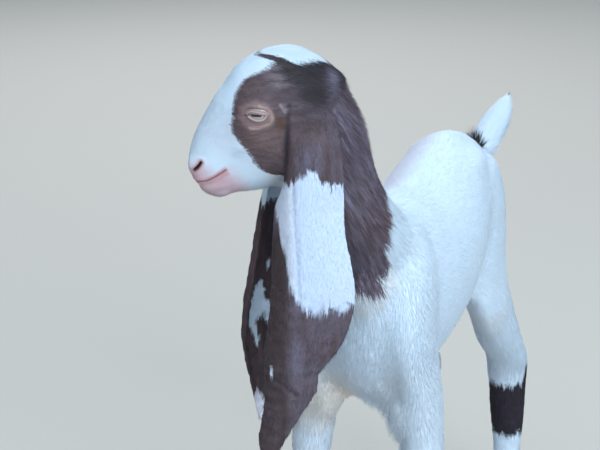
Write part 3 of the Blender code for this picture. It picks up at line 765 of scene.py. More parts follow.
def head_colours(points):
    head = to_head(points)
    ahead, up = side_view(head)
    ragged = 0.07 * noise(points, 0.30, 1) + 0.10 * noise(points, 0.8, 2)
    spikes = 0.45 * np.abs(noise(points * (1, 1, 0.5), 0.17, 3)) - 0.25
    on_top = ease(1.5, 3.0, up - ahead * 0.2)
    x = ahead + ragged * (1 - on_top)
    y = up + ragged * 0.6 - spikes * on_top * (ahead < -3.7)
    dark = inside((x, y), HEAD_PATCH) & ~((np.abs(head[:, 2]) < 1.0 + ragged) & (up < -3.6))
    soft = 0.5 + 0.5 * noise(points, 0.7, 21)
    rosy = ease(4.4, 6.0, head[:, 0]) * ease(1.0, -0.5, head[:, 1]) * 0.75
    rosy = np.maximum(rosy, 0.75 * ease(3.0, 4.8, head[:, 0])
                      * ease(-0.9, -1.7, head[:, 1]))
    rosy = np.maximum(rosy, 0.25 * soft * round_bump(ahead - 2.6, up - 0.7, 1.3))
    white = layered(
        WHITE,
        # Painted warm light bounced from below, under the jaw
        (CREAM, 0.4 * ease(-3.2, -4.6, up) * ease(3.5, 1.0, ahead)),
        (PINK * 1.28, np.minimum(1, rosy * 1.25) * (0.6 + 0.4 * soft)))
    tilt = math.radians(38)
    along = (ahead - 0.07) * math.cos(tilt) + (up - 0.15) * math.sin(tilt)
    across = -(ahead - 0.07) * math.sin(tilt) + (up - 0.15) * math.cos(tilt)
    ring = np.hypot(along / 1.34, across / 1.12) + 0.09 * noise(points, 0.3, 6)
    bare = mix(BARE * 0.95, BARE * 1.35, ease(0.3, -0.4, up))
    fold, _ = line_distance((ahead, up), EYE_FOLD)
    return layered(white, (head_brown(points, ahead, up), dark),
                   (bare, 0.85 * (1 - ease(0.72, 1.15, ring))),
                   (BARE * 1.7, 0.75 * bump(fold, 0, 0.15) * dark))


def ear_colours(points, side):
    ahead, _, drop = ear_place(points, side)
    ragged = 0.10 * noise(points, 0.35, 7) + 0.14 * noise(points, 1.1, 8)
    teeth = 0.35 * noise(points * (1, 1, 0.25), 0.22, 9)
    grain = noise(points * (1, 1, 0.2), 0.30, 11)
    if side > 0:
        white = inside((ahead + 0.5 * ragged, drop + ragged + teeth), EAR_WHITE)
        white |= np.hypot((ahead - 2.9) / 0.13, (drop - 19.3) / 0.45) < 1
        # shade is the share of SLATE, a painted bluish sheen, over the ear's brown
        shade = 0.6 + 0.3 * noise(points * (1, 1, 0.4), 1.6, 12) + 0.3 * grain
        flap = ease(1.2, 2.0, ahead) * ease(7, 9, drop)
        ridge = bump(ahead, 0.9, 0.5) * ease(15, 17, drop) * ease(22, 20, drop)
        crease, _ = line_distance((ahead, drop), EAR_CREASE)
        on_head = side_view(to_head(points))
        front, _ = line_distance(on_head, EAR_FRONT)
        brown = layered(
            BROWN,
            (SLATE, np.clip(shade, 0, 1)),
            (BROWN * 0.95, 0.7 * ease(0.4, 1.2, ahead) * (drop < 5.5)),
            (BROWN * 0.75, 0.6 * bump(ahead, -1.3, 0.35) * (drop < 5)),
            # The front flap, turned away: darker as painted shade, reddish as its thinly haired
            # inner side
            ((0.052, 0.034, 0.038), 0.85 * flap),
            # Painted sheen on the ridge low on the ear
            (SLATE * 1.35, 0.4 * ridge),
            # Painted shade in the crease across the lower ear
            (DARK, 0.6 * bump(crease, 0, 0.22)),
            (head_brown(points, *on_head), 1 - ease(0.3, 2.4, drop)),
            # Painted shadow along the fold before the ear
            (DARK * 0.8, 0.8 * bump(front, 0, 0.2)))
        # The ear's white, a darker copy of the coat's as painted shade; its front strip, turned
        # away, takes more painted shade
        pale = mix(WHITE * (0.88, 0.88, 0.97), (0.62, 0.63, 0.72),
                   0.5 * ease(0.85, 1.35, ahead))
    else:
        across = points[:, 1] * HEAD_AXES[2][0] - points[:, 0] * LEVEL_AHEAD[0]
        white = inside((across + 0.35 * ragged, drop + 0.8 * ragged + 0.4 * teeth), FAR_MARK)
        white |= np.hypot((across + 11.71) / 0.16, (drop - 13.8) / 0.33) < 1
        white |= drop > 24.5 + ragged + 2.6 * np.abs(across + 12.75)
        white |= (drop < 7.9 + ragged + teeth) & (across > -12.15 + 0.5 * ragged) & (drop > 3.5)
        # The far ear's dark hair, painted darker than the near ear's as shade
        brown = mix(DARK, BROWN, np.clip(0.5 + 0.4 * noise(points, 2.0, 10) + 0.3 * grain, 0, 1))
        pale = mix(WHITE, PINK * 1.3, 0.3 * ease(22, 24, drop))
    return mix(brown * (1 + 0.15 * grain)[:, None], pale, white)


def neck_dark(points):
    """Which places lie in the neck's dark mass, and how near the throat they are."""
    forward, left, up = points.T
    ragged = 0.25 * noise(points, 0.6, 13) + 0.30 * noise(points * (1, 1, 0.4), 0.3, 14)
    turn = np.radians(np.interp(up, NECK_LINE[:, 2], NECK_LINE[:, 3]))
    middle = [np.interp(up, NECK_LINE[:, 2], NECK_LINE[:, k]) for k in (0, 1)]
    away = unit(np.stack((forward - middle[0], left - middle[1]), axis=1))
    throat = away[:, 0] * np.cos(turn) + away[:, 1] * np.sin(turn)
    dark = (forward > np.interp(up, *NECK_EDGE) + ragged) & (up > 35.8 + ragged)
    dark &= (left > -0.5 + ragged) | (up > 43)
    reach = np.interp(up, (36.5, 38, 42, 46), (1.4, 1.1, 0.85, 0.66))
    return dark & (throat < reach + 0.2 * ragged), throat


def neck_brown(points):
    streaks = noise(stretched(points, (-0.55, 0.2, -1.0), 0.85), 0.22, 15)
    broad = noise(stretched(points, (-0.55, 0.2, -1.0), 0.6), 1.0, 23)
    # SLATE in streaks: painted bluish sheen on the dark hair
    brown = mix(BROWN, SLATE * 1.45, np.clip(0.55 + 0.35 * streaks + 0.3 * broad, 0, 1))
    rear = bump(points[:, 0] - np.interp(points[:, 2], *NECK_EDGE), 0.5, 0.7) * (points[:, 2] > 40)
    brown = mix(brown, (0.105, 0.056, 0.050), 0.6 * rear * np.clip(0.7 + broad, 0, 1))
    return brown * (1 + 0.34 * streaks)[:, None]


def neck_colours(points):
    dark, throat = neck_dark(points)
    # CREAM at the throat: painted warm light bounced from below
    return layered(WHITE, (CREAM, 0.3 * ease(0.5, 0.9, throat)), (neck_brown(points), dark))


def leg_colours(points, hind):
    forward, _, up = points.T
    if not hind:
        return mix(WHITE, CREAM, 0.18 * (0.5 + 0.5 * noise(points, 2.2, 16)))
    teeth = 0.55 * noise(points * (1, 1, 0.25), 0.3, 17) + 0.2 * noise(points, 0.8, 18)
    band = (up > 10.5 + 0.5 * teeth) & (up < 16.1 + teeth)
    behind = (up > 15.5) & (up < 18.3 + teeth) & (forward < -19.5)
    # TAN high on the front of the hind legs: painted warm light bounced from below
    return layered(WHITE, (TAN, 0.22 * ease(22, 27, up) * (forward > -13)),
                   (BLACK * 1.4, band | behind))


def croup_patch(points):
    """Distance from the middle of the dark spot before the tail, 1 at its edge."""
    return np.linalg.norm((points - CROUP_PATCH) / (1.6, 1.3, 1.4), axis=1)


def torso_colours(points):
    forward, left, up = points.T
    soft = noise(points, 2.5, 19) * 0.5 + 0.5
    # Painted shade over the far side of the back, with a little pink of skin through the thin coat
    back = ease(0.3, -1.6, left) * ease(39, 40.2, up) * ease(-16, -11, forward)
    # Painted warm light bounced from below, in the far armpit
    inner = (round_bump((forward - 9.5) / 3, (up - 25.5) / 3, 1) * ease(0.5, -1.5, left))
    # CREAM low on the body: painted warm light bounced from below, made patchy by soft noise
    return layered(WHITE, (CREAM, 0.22 * soft * ease(31, 26, up)),
                   ((0.50, 0.46, 0.58), 0.55 * back), (CREAM * 1.1, 0.8 * inner),
                   (neck_brown(points), neck_dark(points)[0]),
                   (BLACK, croup_patch(points) + 0.25 * noise(points, 0.35, 20) < 1))


def coat_colours(points, regions):
    """Colour of the coat at places on the skin. Skin and tufts both take it from here."""
    colour = torso_colours(points)
    neck = is_kind(regions, "neck")
    colour[neck] = neck_colours(points[neck])
    head = is_kind(regions, "head")
    colour[head] = head_colours(points[head])
    for name, side in EARS.items():
        ear = regions == FLESH.index(name)
        colour[ear] = ear_colours(points[ear], side)
    for kind in ("fore", "hind"):
        leg = np.isin(regions, [i for i, name in enumerate(FLESH) if name.startswith(kind)])
        colour[leg] = leg_colours(points[leg], kind == "hind")
    return colour


def bareness(points, regions):
    """How bare the skin is, 0 under the full coat to 1 on lids, lips and nose."""
    bare = np.zeros(len(points))
    near = np.flatnonzero(is_kind(regions, "head"))
    head = to_head(points[near])
    a, b, w = head.T
    found = np.zeros(len(near))
    for side in (1, -1):
        gap, local = lid_distance(points[near], side)
        facing = local[:, 2] > 0.1
        found = np.maximum(found, (1 - ease(0.12, 0.55, gap)) * facing)
    gap, _ = nostril_gap(head)
    found = np.maximum(found, (1 - ease(0.12, 0.40, gap)) * (a > 4.6))
    height, share = mouth_gap(head)
    lips = 1 - ease(0.10, np.where(height > 0, 0.42, 0.70), np.abs(height))
    found = np.maximum(found, lips * (1 - ease(0.95, 1.08, share)) * (a > 3.4))
    pad = (1 - ease(0.35, 0.75, np.abs(w))) * (1 - ease(0.0, 0.4, b))
    pad *= (a > 5.6) * (b > -1.5)
    bare[near] = np.maximum(found, pad)
    return bare


def bare_colours(points, colour, bare):
    """The coat's colours with pink lips and nose and pale lids worked in, and painted shade in the
    lid folds, the tear groove, the mouth's line and the nostrils.
    """
    head = to_head(points)
    a, b, w = head.T
    height, share = mouth_gap(head)
    muzzle = ease(3.4, 4.2, a) * (np.abs(w) < 3) * (b < 2)
    # Darker pink along the mouth's line: painted shade in the groove between the lips
    pink = mix(PINK, PINK * 0.45, bump(height, 0, 0.045) * (share < 1.05))
    found = layered(BARE, (pink, muzzle),
                    # Near black in the nostrils: painted shade inside them
                    (PINK * 0.05, muzzle * bump(nostril_gap(head)[0], 0, 0.11)))
    for side in (1, -1):
        gap, wobble, local, corner, tear = lid_places(points, side)
        _, y, z = local.T
        edge = (z > 0.1) & (gap < 1.4)
        reach = np.where(y > 0, 0.34, 0.30)
        pale = (0.8 - 0.35 * (y > 0)) * (0.9 + 0.25 * noise(local, 0.25, 36))
        fold = bump(wobble, 0.33, 0.05) * ease(-0.1, 0.15, y)
        fold += 0.7 * bump(wobble, 0.25, 0.045) * (y < 0)
        wrinkles = bump(wobble, 0.17, 0.04) + bump(wobble, 0.33, 0.05)
        found = layered(
            found,
            (LID, edge * pale * (1 - ease(0.2 * reach, reach, wobble))),
            # Painted shade in the folds round the lids
            (BARE * 0.5, edge * np.clip(fold, 0, 1) * 0.8),
            # Pink skin at the front corner, darker in its wrinkles as painted shade
            (PINK * 0.55, edge * corner * wrinkles * 0.7),
            # Painted shade in the tear groove
            (PINK * 0.30, edge * bump(tear, 0, 0.06)),
            # Painted shade where the skin turns in under the lids' edge
            (BARE * 0.25, edge * (1 - ease(-0.05, 0.0, gap))))
    return mix(colour, found, bare)


# The bake's own unwrap: each kind of region has a place on the sheet
CHARTS = {"head": (0.00, 0.56, 0.44, 0.44), "torso": (0.45, 0.60, 0.55, 0.40),
          "neck": (0.00, 0.34, 0.28, 0.21), "tail": (0.29, 0.34, 0.15, 0.21),
          "ear_left": (0.45, 0.20, 0.27, 0.39), "ear_right": (0.73, 0.20, 0.27, 0.39),
          "fore_left": (0.00, 0.00, 0.21, 0.33), "fore_right": (0.22, 0.00, 0.21, 0.33),
          "hind_left": (0.45, 0.00, 0.27, 0.19), "hind_right": (0.73, 0.00, 0.27, 0.19)}
CHART_EDGE = 0.04                    # of a chart's width, kept free for faces over its seam
# The rounder regions are unwrapped on eggs: middle and half sizes
EGGS = {"head": ((0.2, -0.8, 0), (6.8, 4.6, 3.3)), "torso": ((-2, 0, 34), (18, 5.6, 8)),
        "neck": ((12, -1.5, 44), (10, 5, 5)), "tail": ((-23, 0.2, 39.6), (7, 2, 2.5))}
NECK_EGG_AXES = np.array(((0.4, 0.9, 0.4), (0, -0.4, 0.9), (0.9, -0.3, 0.2)))
LEG_MIDDLES = {"fore": ((0, 10.4), (8, 9.5), (24, 9.0), (42, 8.0)),
               "hind": ((0, -17.4), (8, -19.4), (16, -20), (26, -13.5), (42, -13.5))}
LEG_TOP = 42


def chart_of(name):
    words = name.split("_")
    return f"{words[0]}_{words[2]}" if len(words) == 3 else name


def on_one_side(angle, around):
    """Angles in shares of a turn, moved whole turns to lie nearest to their face's own."""
    return angle if around is None else around + (angle - around + 0.5) % 1 - 0.5


def round_chart(local, half, around):
    """Angle and height on an egg: local places scaled by its half sizes, in shares of a turn."""
    scaled = local / half
    size = np.maximum(np.linalg.norm(scaled, axis=1), 1e-9)
    height = np.arccos(np.clip(scaled[:, 0] / size, -1, 1)) / math.pi
    return on_one_side(np.arctan2(scaled[:, 1], scaled[:, 2]) / (2 * math.pi), around), height


def leg_chart(points, name, around):
    kind, side = name.split("_")
    sign = 1 if side == "left" else -1
    middle = np.interp(points[:, 2], *zip(*LEG_MIDDLES[kind]))
    angle = np.arctan2(points[:, 0] - middle, points[:, 1] - sign * 4.6) / (2 * math.pi)
    return on_one_side(angle, around), points[:, 2] / LEG_TOP


def ear_chart(points, normals, side):
    """Across the curled sheet and down it, the outer face beside the inner one."""
    ahead, out, drop = ear_place(points, side)
    turn = np.radians(15 + (np.interp(drop, (0, 9, 20), (0, 45, 50)) if side < 0 else 0))
    across = ahead * np.cos(turn) - out * np.sin(turn)
    outwards = normals @ (HEAD_AXES[2] * side)
    inner = (normals @ LEVEL_AHEAD) * np.sin(turn) + outwards * np.cos(turn) < 0
    share = np.clip((across + 6.0) / 13.0, 0, 1) * 0.46
    return share + 0.5 * inner - 0.48, np.clip((drop + 3) / 32, 0, 1)


def sheet_places(points, normals, regions, around=None):
    """Places on the bake's sheet, and the angle part that decides which side of a seam it is."""
    places = np.zeros((len(points), 2))
    angles = np.zeros(len(points))
    for number, name in enumerate(FLESH):
        here = np.flatnonzero(regions == number)
        if not len(here):
            continue
        chart = chart_of(name)
        spots, turned = points[here], None if around is None else around[here]
        if chart in EGGS:
            middle, half = EGGS[chart]
            local = (to_head(spots) if chart == "head" else spots) - middle
            if chart == "neck":
                local = local @ NECK_EGG_AXES
            angle, height = round_chart(local, half, turned)
        elif name in EARS:
            angle, height = ear_chart(spots, normals[here], EARS[name])
        else:
            angle, height = leg_chart(spots, chart, turned)
        left, low, wide, tall = CHARTS[chart]
        angles[here] = angle
        places[here, 0] = left + wide * (CHART_EDGE + (1 - 2 * CHART_EDGE) * (angle + 0.5))
        places[here, 1] = low + tall * (0.02 + 0.96 * height)
    return np.clip(places, 0.001, 0.999), angles


def set_bake_map(mesh, points, faces, regions):
    corners = points[faces]
    normals = unit(crossed(points, faces))
    region = regions[faces[:, 0]]
    _, around = sheet_places(corners.mean(axis=1), normals, region)
    flat, _ = sheet_places(corners.reshape(-1, 3), np.repeat(normals, 3, axis=0),
                           np.repeat(region, 3), np.repeat(around, 3))
    layer = mesh.uv_layers.new(name="OFBake")
    layer.uv.foreach_set("vector", flat.astype(np.float32).ravel())


# Materials
def fill(tree, made, inputs):
    """Sets a node's inputs: what is given is a value, or the socket to link to it."""
    for name, value in inputs.items():
        if isinstance(value, bpy.types.NodeSocket):
            tree.links.new(value, made.inputs[name])
        else:
            made.inputs[name].default_value = value


def node(tree, kind, inputs=None, output=0, **settings):
    """One output of a new node."""
    made = tree.nodes.new(kind)
    for name, value in settings.items():
        setattr(made, name, value)
    fill(tree, made, inputs or {})
    return made.outputs[output]


def new_material(name, **sockets):
    material = bpy.data.materials.new(name)
    material.use_nodes = True
    shader = material.node_tree.nodes["Principled BSDF"]
    fill(material.node_tree, shader, {key.replace("_", " "): sockets[key] for key in sockets})
    return material, material.node_tree, shader


def attribute(tree, name, output="Color"):
    return node(tree, "ShaderNodeAttribute", output=output, attribute_name=name)


def blend(tree, share, first, second):
    return node(tree, "ShaderNodeMix", {"Factor": share, 6: first, 7: second}, 2, data_type="RGBA")


def skin_material():
    material, tree, shader = new_material("skin", Specular_IOR_Level=0.3)
    spot = node(tree, "ShaderNodeTexCoord", output="Object")
    pores, folds = (
        node(tree, "ShaderNodeTexNoise", {"Vector": spot, "Scale": scale, "Detail": detail})
        for scale, detail in ((900.0, 3.0), (260.0, 2.0)))
    total = node(tree, "ShaderNodeMath", {0: pores, 1: folds}, operation="ADD")
    fill(tree, shader, {
        "Base Color": attribute(tree, "coat_colour"),
        "Normal": node(tree, "ShaderNodeBump",
                       {"Strength": 0.25, "Distance": 0.0006, "Height": total}),
        "Roughness": node(tree, "ShaderNodeMapRange", {
            "Value": attribute(tree, "bare", "Fac"), "To Min": 0.75, "To Max": 0.55})})
    return material


def coat_material():
    material, tree, shader = new_material("coat", Roughness=0.62, Specular_IOR_Level=0.25)
    fill(tree, shader, {"Base Color": attribute(tree, "coat_colour")})
    return material


def eye_material():
    material, tree, shader = new_material("eye", Roughness=0.18, Coat_Weight=0.6,
                                          Coat_Roughness=0.02)

    def maths(operation, *values):
        return node(tree, "ShaderNodeMath", dict(enumerate(values)), operation=operation)

    def length(x, y):
        return maths("SQRT", maths("ADD", maths("POWER", x, 2.0), maths("POWER", y, 2.0)))

    def ramp(value, low, high):
        return node(tree, "ShaderNodeMapRange",
                    {"Value": value, "From Min": low, "From Max": high},
                    interpolation_type="SMOOTHSTEP")

    place = attribute(tree, "eye_place", "Vector")
    x, y = (node(tree, "ShaderNodeSeparateXYZ", {0: place}, axis) for axis in "XY")
    away = length(x, y)
    around = node(tree, "ShaderNodeCombineXYZ", {
        "X": maths("MULTIPLY", maths("ARCTAN2", y, x), 7.0), "Y": maths("MULTIPLY", away, 2.0)})
    streaks = node(tree, "ShaderNodeTexNoise", {"Vector": around, "Scale": 3.0, "Detail": 4.0})
    iris = blend(tree, streaks, (0.22, 0.17, 0.18, 1), (0.50, 0.41, 0.43, 1))
    iris = blend(tree, ramp(away, 0.50, 0.60), iris, (0.13, 0.10, 0.09, 1))
    iris = blend(tree, ramp(away, 0.60, 0.66), iris, (0.45, 0.36, 0.34, 1))
    # The slit: a long bar with rounded ends
    past_end = maths("MAXIMUM", maths("SUBTRACT", maths("ABSOLUTE", x), 0.32), 0.0)
    from_bar = length(past_end, maths("SUBTRACT", y, -0.005))
    iris = blend(tree, ramp(from_bar, 0.075, 0.115), (0.004, 0.004, 0.006, 1), iris)
    fill(tree, shader, {"Base Color": iris})
    return material


def horn_material():
    material, tree, shader = new_material("horn", Roughness=0.45)
    spot = node(tree, "ShaderNodeTexCoord", output="Object")
    stretched = node(tree, "ShaderNodeMapping", {"Vector": spot, "Scale": (60.0, 60.0, 420.0)})
    rings = node(tree, "ShaderNodeTexNoise", {"Vector": stretched, "Scale": 1.0, "Detail": 3.0})
    fill(tree, shader, {
        "Base Color": blend(tree, rings, (0.045, 0.036, 0.034, 1), (0.19, 0.155, 0.135, 1)),
        "Normal": node(tree, "ShaderNodeBump",
                       {"Strength": 0.5, "Distance": 0.0008, "Height": rings})})
    return material


# Finishing pieces
def store(mesh, name, values, domain="POINT"):
    kind = "FLOAT" if values.ndim == 1 else "FLOAT_VECTOR"
    made = mesh.attributes.new(name, kind, domain)
    made.data.foreach_set("value" if values.ndim == 1 else "vector",
                          values.astype(np.float32).ravel())


def finish_piece(obj, nodes=()):
    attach(obj, "root")
    if nodes:
        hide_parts(*nodes)
    return obj


def make_skin(points, faces, regions):
    mesh = mesh_of("skin", points, faces)
    bare = bareness(points, regions)
    colour = bare_colours(points, coat_colours(points, regions), bare)
    store(mesh, "coat_colour", colour)
    store(mesh, "bare", bare)
    set_bake_map(mesh, points, faces, regions)
    mesh.materials.append(skin_material())
    mesh.shade_smooth()
    return finish_piece(object_of("skin", mesh), FLESH)


# The coat
LENGTH = {"torso": 0.72, "neck": 1.05, "head": 0.45, "tail": 1.5, "ear": 0.50, "leg": 0.75,
          "cannon": 0.6, "foot": 0.5}
HEAD_LENGTHS = ((-6.5, -3.5, -1.0, 2.0, 4.5, 6.5), (0.75, 0.60, 0.46, 0.36, 0.26, 0.2))
TAIL_LENGTHS = ((-29, -26, -21, -18), (0.7, 1.2, 1.4, 1.1))
WIDTH = {"torso": 0.060, "neck": 0.060, "head": 0.036, "tail": 0.06, "ear": 0.045, "leg": 0.055,
         "cannon": 0.050, "foot": 0.045}
TUFTS = {"torso": 72, "neck": 85, "head": 205, "tail": 90, "ear": 75, "leg": 55, "cannon": 75,
         "foot": 80}                 # on each square centimetre
# The hair's lie, forward, left and up
LIE = {"torso": (-1.0, 0.0, -0.40), "rump": (-0.35, 0.0, -1.0), "chest": (-0.15, 0.0, -1.0),
       "neck": (-0.62, 0.25, -1.0), "leg": (-0.12, 0.0, -1.0), "cannon": (-0.12, 0.0, -1.0),
       "foot": (-0.12, 0.0, -1.0), "ear": (0.0, 0.0, -1.0), "tail": (-0.82, 0.05, 0.42)}
MOST_TUFTS = 48000                   # in one piece
SIDES = 3                            # of each tuft
PATCH = 0.003                        # width of a tuft's own place on the sheet
NORMAL_SHARE = 0.80                  # of the skin's own direction in the shading of a tuft
TAIL_BEND = -0.12
WAVE = 0.12                          # how far the lie swings to the sides
STRAY = 0.08
FLATNESS = 0.55                      # a tuft's thickness, in widths
ROOT_DEPTH = 0.02                    # of a tuft's root under the skin


def lie_directions(points, regions):
    """The way the hair lies before it is drawn flat on the skin."""
    forward = points[:, 0]
    ways = layered(np.array(LIE["torso"]), (np.array(LIE["rump"]), ease(-15, -19, forward)),
                   (np.array(LIE["chest"]), ease(7, 11, forward)))
    for kind in ("neck", "leg", "cannon", "foot", "ear", "tail"):
        ways[is_kind(regions, kind)] = LIE[kind]
    head = is_kind(regions, "head")
    a, b, w = to_head(points[head]).T
    side = np.sign(w)
    bridge = ease(0.2, 1.8, a) * (1 - ease(0.8, 2.0, np.abs(w)))
    top = ease(0.8, 2.4, b) * (1 - ease(-0.5, 1.2, a))
    ways[head] = layered(rows_of(-0.75, -0.65, 0.1 * side),
                         (rows_of(1.0, -0.55, 0.30 * side), bridge),
                         (rows_of(-0.7, -0.3, 0.8 * side), top)) @ HEAD_AXES
    return unit(ways)


def brisket(points, regions):
    """Share of the long hair that hangs between the forelegs."""
    forward, left, up = points.T
    return (is_kind(regions, "torso", "leg") * ease(3, 6, forward)
            * ease(27.5, 25.8, up) * ease(-1.0, 1.0, left)
            * ease(4.5, 3.0, left) * ease(21, 23, up))


def coat_lengths(points, regions, bare):
    length = by_region(LENGTH, regions)
    head = is_kind(regions, "head")
    rows = np.interp(to_head(points[head])[:, 0], *HEAD_LENGTHS)
    close = np.minimum(*[distance(points[head], eye_center(side)) for side in (1, -1)])
    rows = np.where(close < 2.2, np.minimum(rows, 0.16 + 0.28 * ease(1.3, 2.2, close)), rows)
    length[head] = rows
    tail = is_kind(regions, "tail")
    length[tail] = np.interp(points[tail, 0], *TAIL_LENGTHS)
    length += 0.9 * brisket(points, regions)
    length += 0.35 * ease(1.2, 0.8, croup_patch(points))
    return length * (1 - 0.6 * bare)


def scatter(points, faces, regions, seed):
    """Even random roots over the skin: which triangle, and where in it."""
    area = np.linalg.norm(crossed(points, faces), axis=1) / 2
    wanted = area * by_region(TUFTS, regions[faces[:, 0]])
    random = np.random.default_rng(seed)
    total = np.concatenate([[0], np.cumsum(wanted)])
    picks = np.arange(int(total[-1])) + random.uniform(0, 1, int(total[-1]))
    face = np.clip(np.searchsorted(total, picks, side="right") - 1, 0, len(faces) - 1)
    u, v = random.uniform(0, 1, (2, len(face)))
    over = u + v > 1
    u[over], v[over] = 1 - u[over], 1 - v[over]
    return face, np.stack((1 - u - v, u, v), axis=1)


def coat_tree(coat):
    """Tufts on roots: thin closed cones turned to the lie, each with its own place on the sheet."""
    tree = bpy.data.node_groups.new("coat_tufts", "GeometryNodeTree")
    for name, kind in (("Roots", "Geometry"), ("Sides", "Int"), ("Segments", "Int"),
                       ("Bend", "Float"), ("Patch", "Float"), ("Seed", "Int")):
        tree.interface.new_socket(name, in_out="INPUT", socket_type="NodeSocket" + kind)
    tree.interface.new_socket("Tufts", in_out="OUTPUT", socket_type="NodeSocketGeometry")
    given = tree.nodes.new("NodeGroupInput").outputs

    def named(name):
        return node(tree, "GeometryNodeInputNamedAttribute", {"Name": name}, "Attribute",
                    data_type="FLOAT_VECTOR")

    def stored(geometry, name, value, kind):
        return node(tree, "GeometryNodeStoreNamedAttribute",
                    {"Geometry": geometry, "Name": name, "Value": value},
                    data_type=kind, domain="CORNER")

    def times(first, second):
        return node(tree, "ShaderNodeMath", {0: first, 1: second}, operation="MULTIPLY")

    cone = node(tree, "GeometryNodeMeshCone", {
        "Vertices": given["Sides"], "Side Segments": given["Segments"], "Fill Segments": 1,
        "Radius Top": 0.0, "Radius Bottom": 0.5, "Depth": 1.0})
    tuft = stored(cone, "patch", cone.node.outputs["UV Map"], "FLOAT_VECTOR")
    # The tip bows down towards the skin
    spot = node(tree, "GeometryNodeInputPosition")
    height = node(tree, "ShaderNodeSeparateXYZ", {0: spot}, "Z")
    bowed = node(tree, "ShaderNodeCombineXYZ", {"Y": times(times(height, height), given["Bend"])})
    tuft = node(tree, "GeometryNodeSetPosition", {"Geometry": tuft, "Offset": bowed})
    # Each tuft takes its lie and a little roll of its own
    turned = node(tree, "FunctionNodeAxesToRotation", {0: named("way"), 1: named("away")},
                  primary_axis="Z", secondary_axis="Y")
    roll = node(tree, "FunctionNodeRandomValue", {2: -0.5, 3: 0.5, "Seed": given["Seed"]}, 1,
                data_type="FLOAT")
    rolled = node(tree, "FunctionNodeEulerToRotation",
                  {0: node(tree, "ShaderNodeCombineXYZ", {"Z": roll})})
    turned = node(tree, "FunctionNodeRotateRotation", {0: turned, 1: rolled},
                  rotation_space="LOCAL")
    placed = node(tree, "GeometryNodeInstanceOnPoints", {
        "Points": given["Roots"], "Instance": tuft, "Rotation": turned, "Scale": named("size")})
    real = node(tree, "GeometryNodeRealizeInstances", {"Geometry": placed})
    patch = node(tree, "ShaderNodeVectorMath", {0: named("patch"), "Scale": given["Patch"]},
                 operation="SCALE")
    place = node(tree, "ShaderNodeVectorMath", {0: patch, 1: named("sheet")}, operation="ADD")
    smooth = node(tree, "GeometryNodeSetShadeSmooth",
                  {"Geometry": stored(real, "OFBake", place, "FLOAT2")})
    painted = node(tree, "GeometryNodeSetMaterial", {"Geometry": smooth, "Material": coat})
    tree.links.new(painted, tree.nodes.new("NodeGroupOutput").inputs["Tufts"])
    return tree


def socket_of(tree, name):
    return next(item.identifier for item in tree.interface.items_tree
                if item.name == name and item.in_out == "INPUT")


def tufts(name, tree, roots, segments, bend, seed):
    """One piece of coat from its roots' rows of numbers."""
    mesh = bpy.data.meshes.new(name + "_roots")
    mesh.vertices.add(len(roots["place"]))
    mesh.vertices.foreach_set("co", world(roots["place"]).astype(np.float32).ravel())
    for key in ("way", "away", "size", "coat_colour", "sheet"):
        store(mesh, key, roots[key])
    obj = object_of(name + "_roots", mesh)
    grow = obj.modifiers.new("tufts", "NODES")
    grow.node_group = tree
    for key, value in (("Sides", SIDES), ("Segments", segments), ("Bend", bend), ("Patch", PATCH),
                       ("Seed", seed)):
        grow[socket_of(tree, key)] = value
    made = applied(obj)
    made.name = name
    soften_normals(made)
    for key in ("way", "away", "size", "sheet", "patch"):
        if key in made.attributes:
            made.attributes.remove(made.attributes[key])
    return finish_piece(object_of(name, made))


def soften_normals(mesh):
    """Tufts shade mostly as the body under them does."""
    away = read(mesh.attributes["away"].data, "vector")
    own = read(mesh.vertices, "normal")
    shaded = unit(NORMAL_SHARE * away + (1 - NORMAL_SHARE) * own)
    mesh.normals_split_custom_set_from_vertices(shaded.tolist())


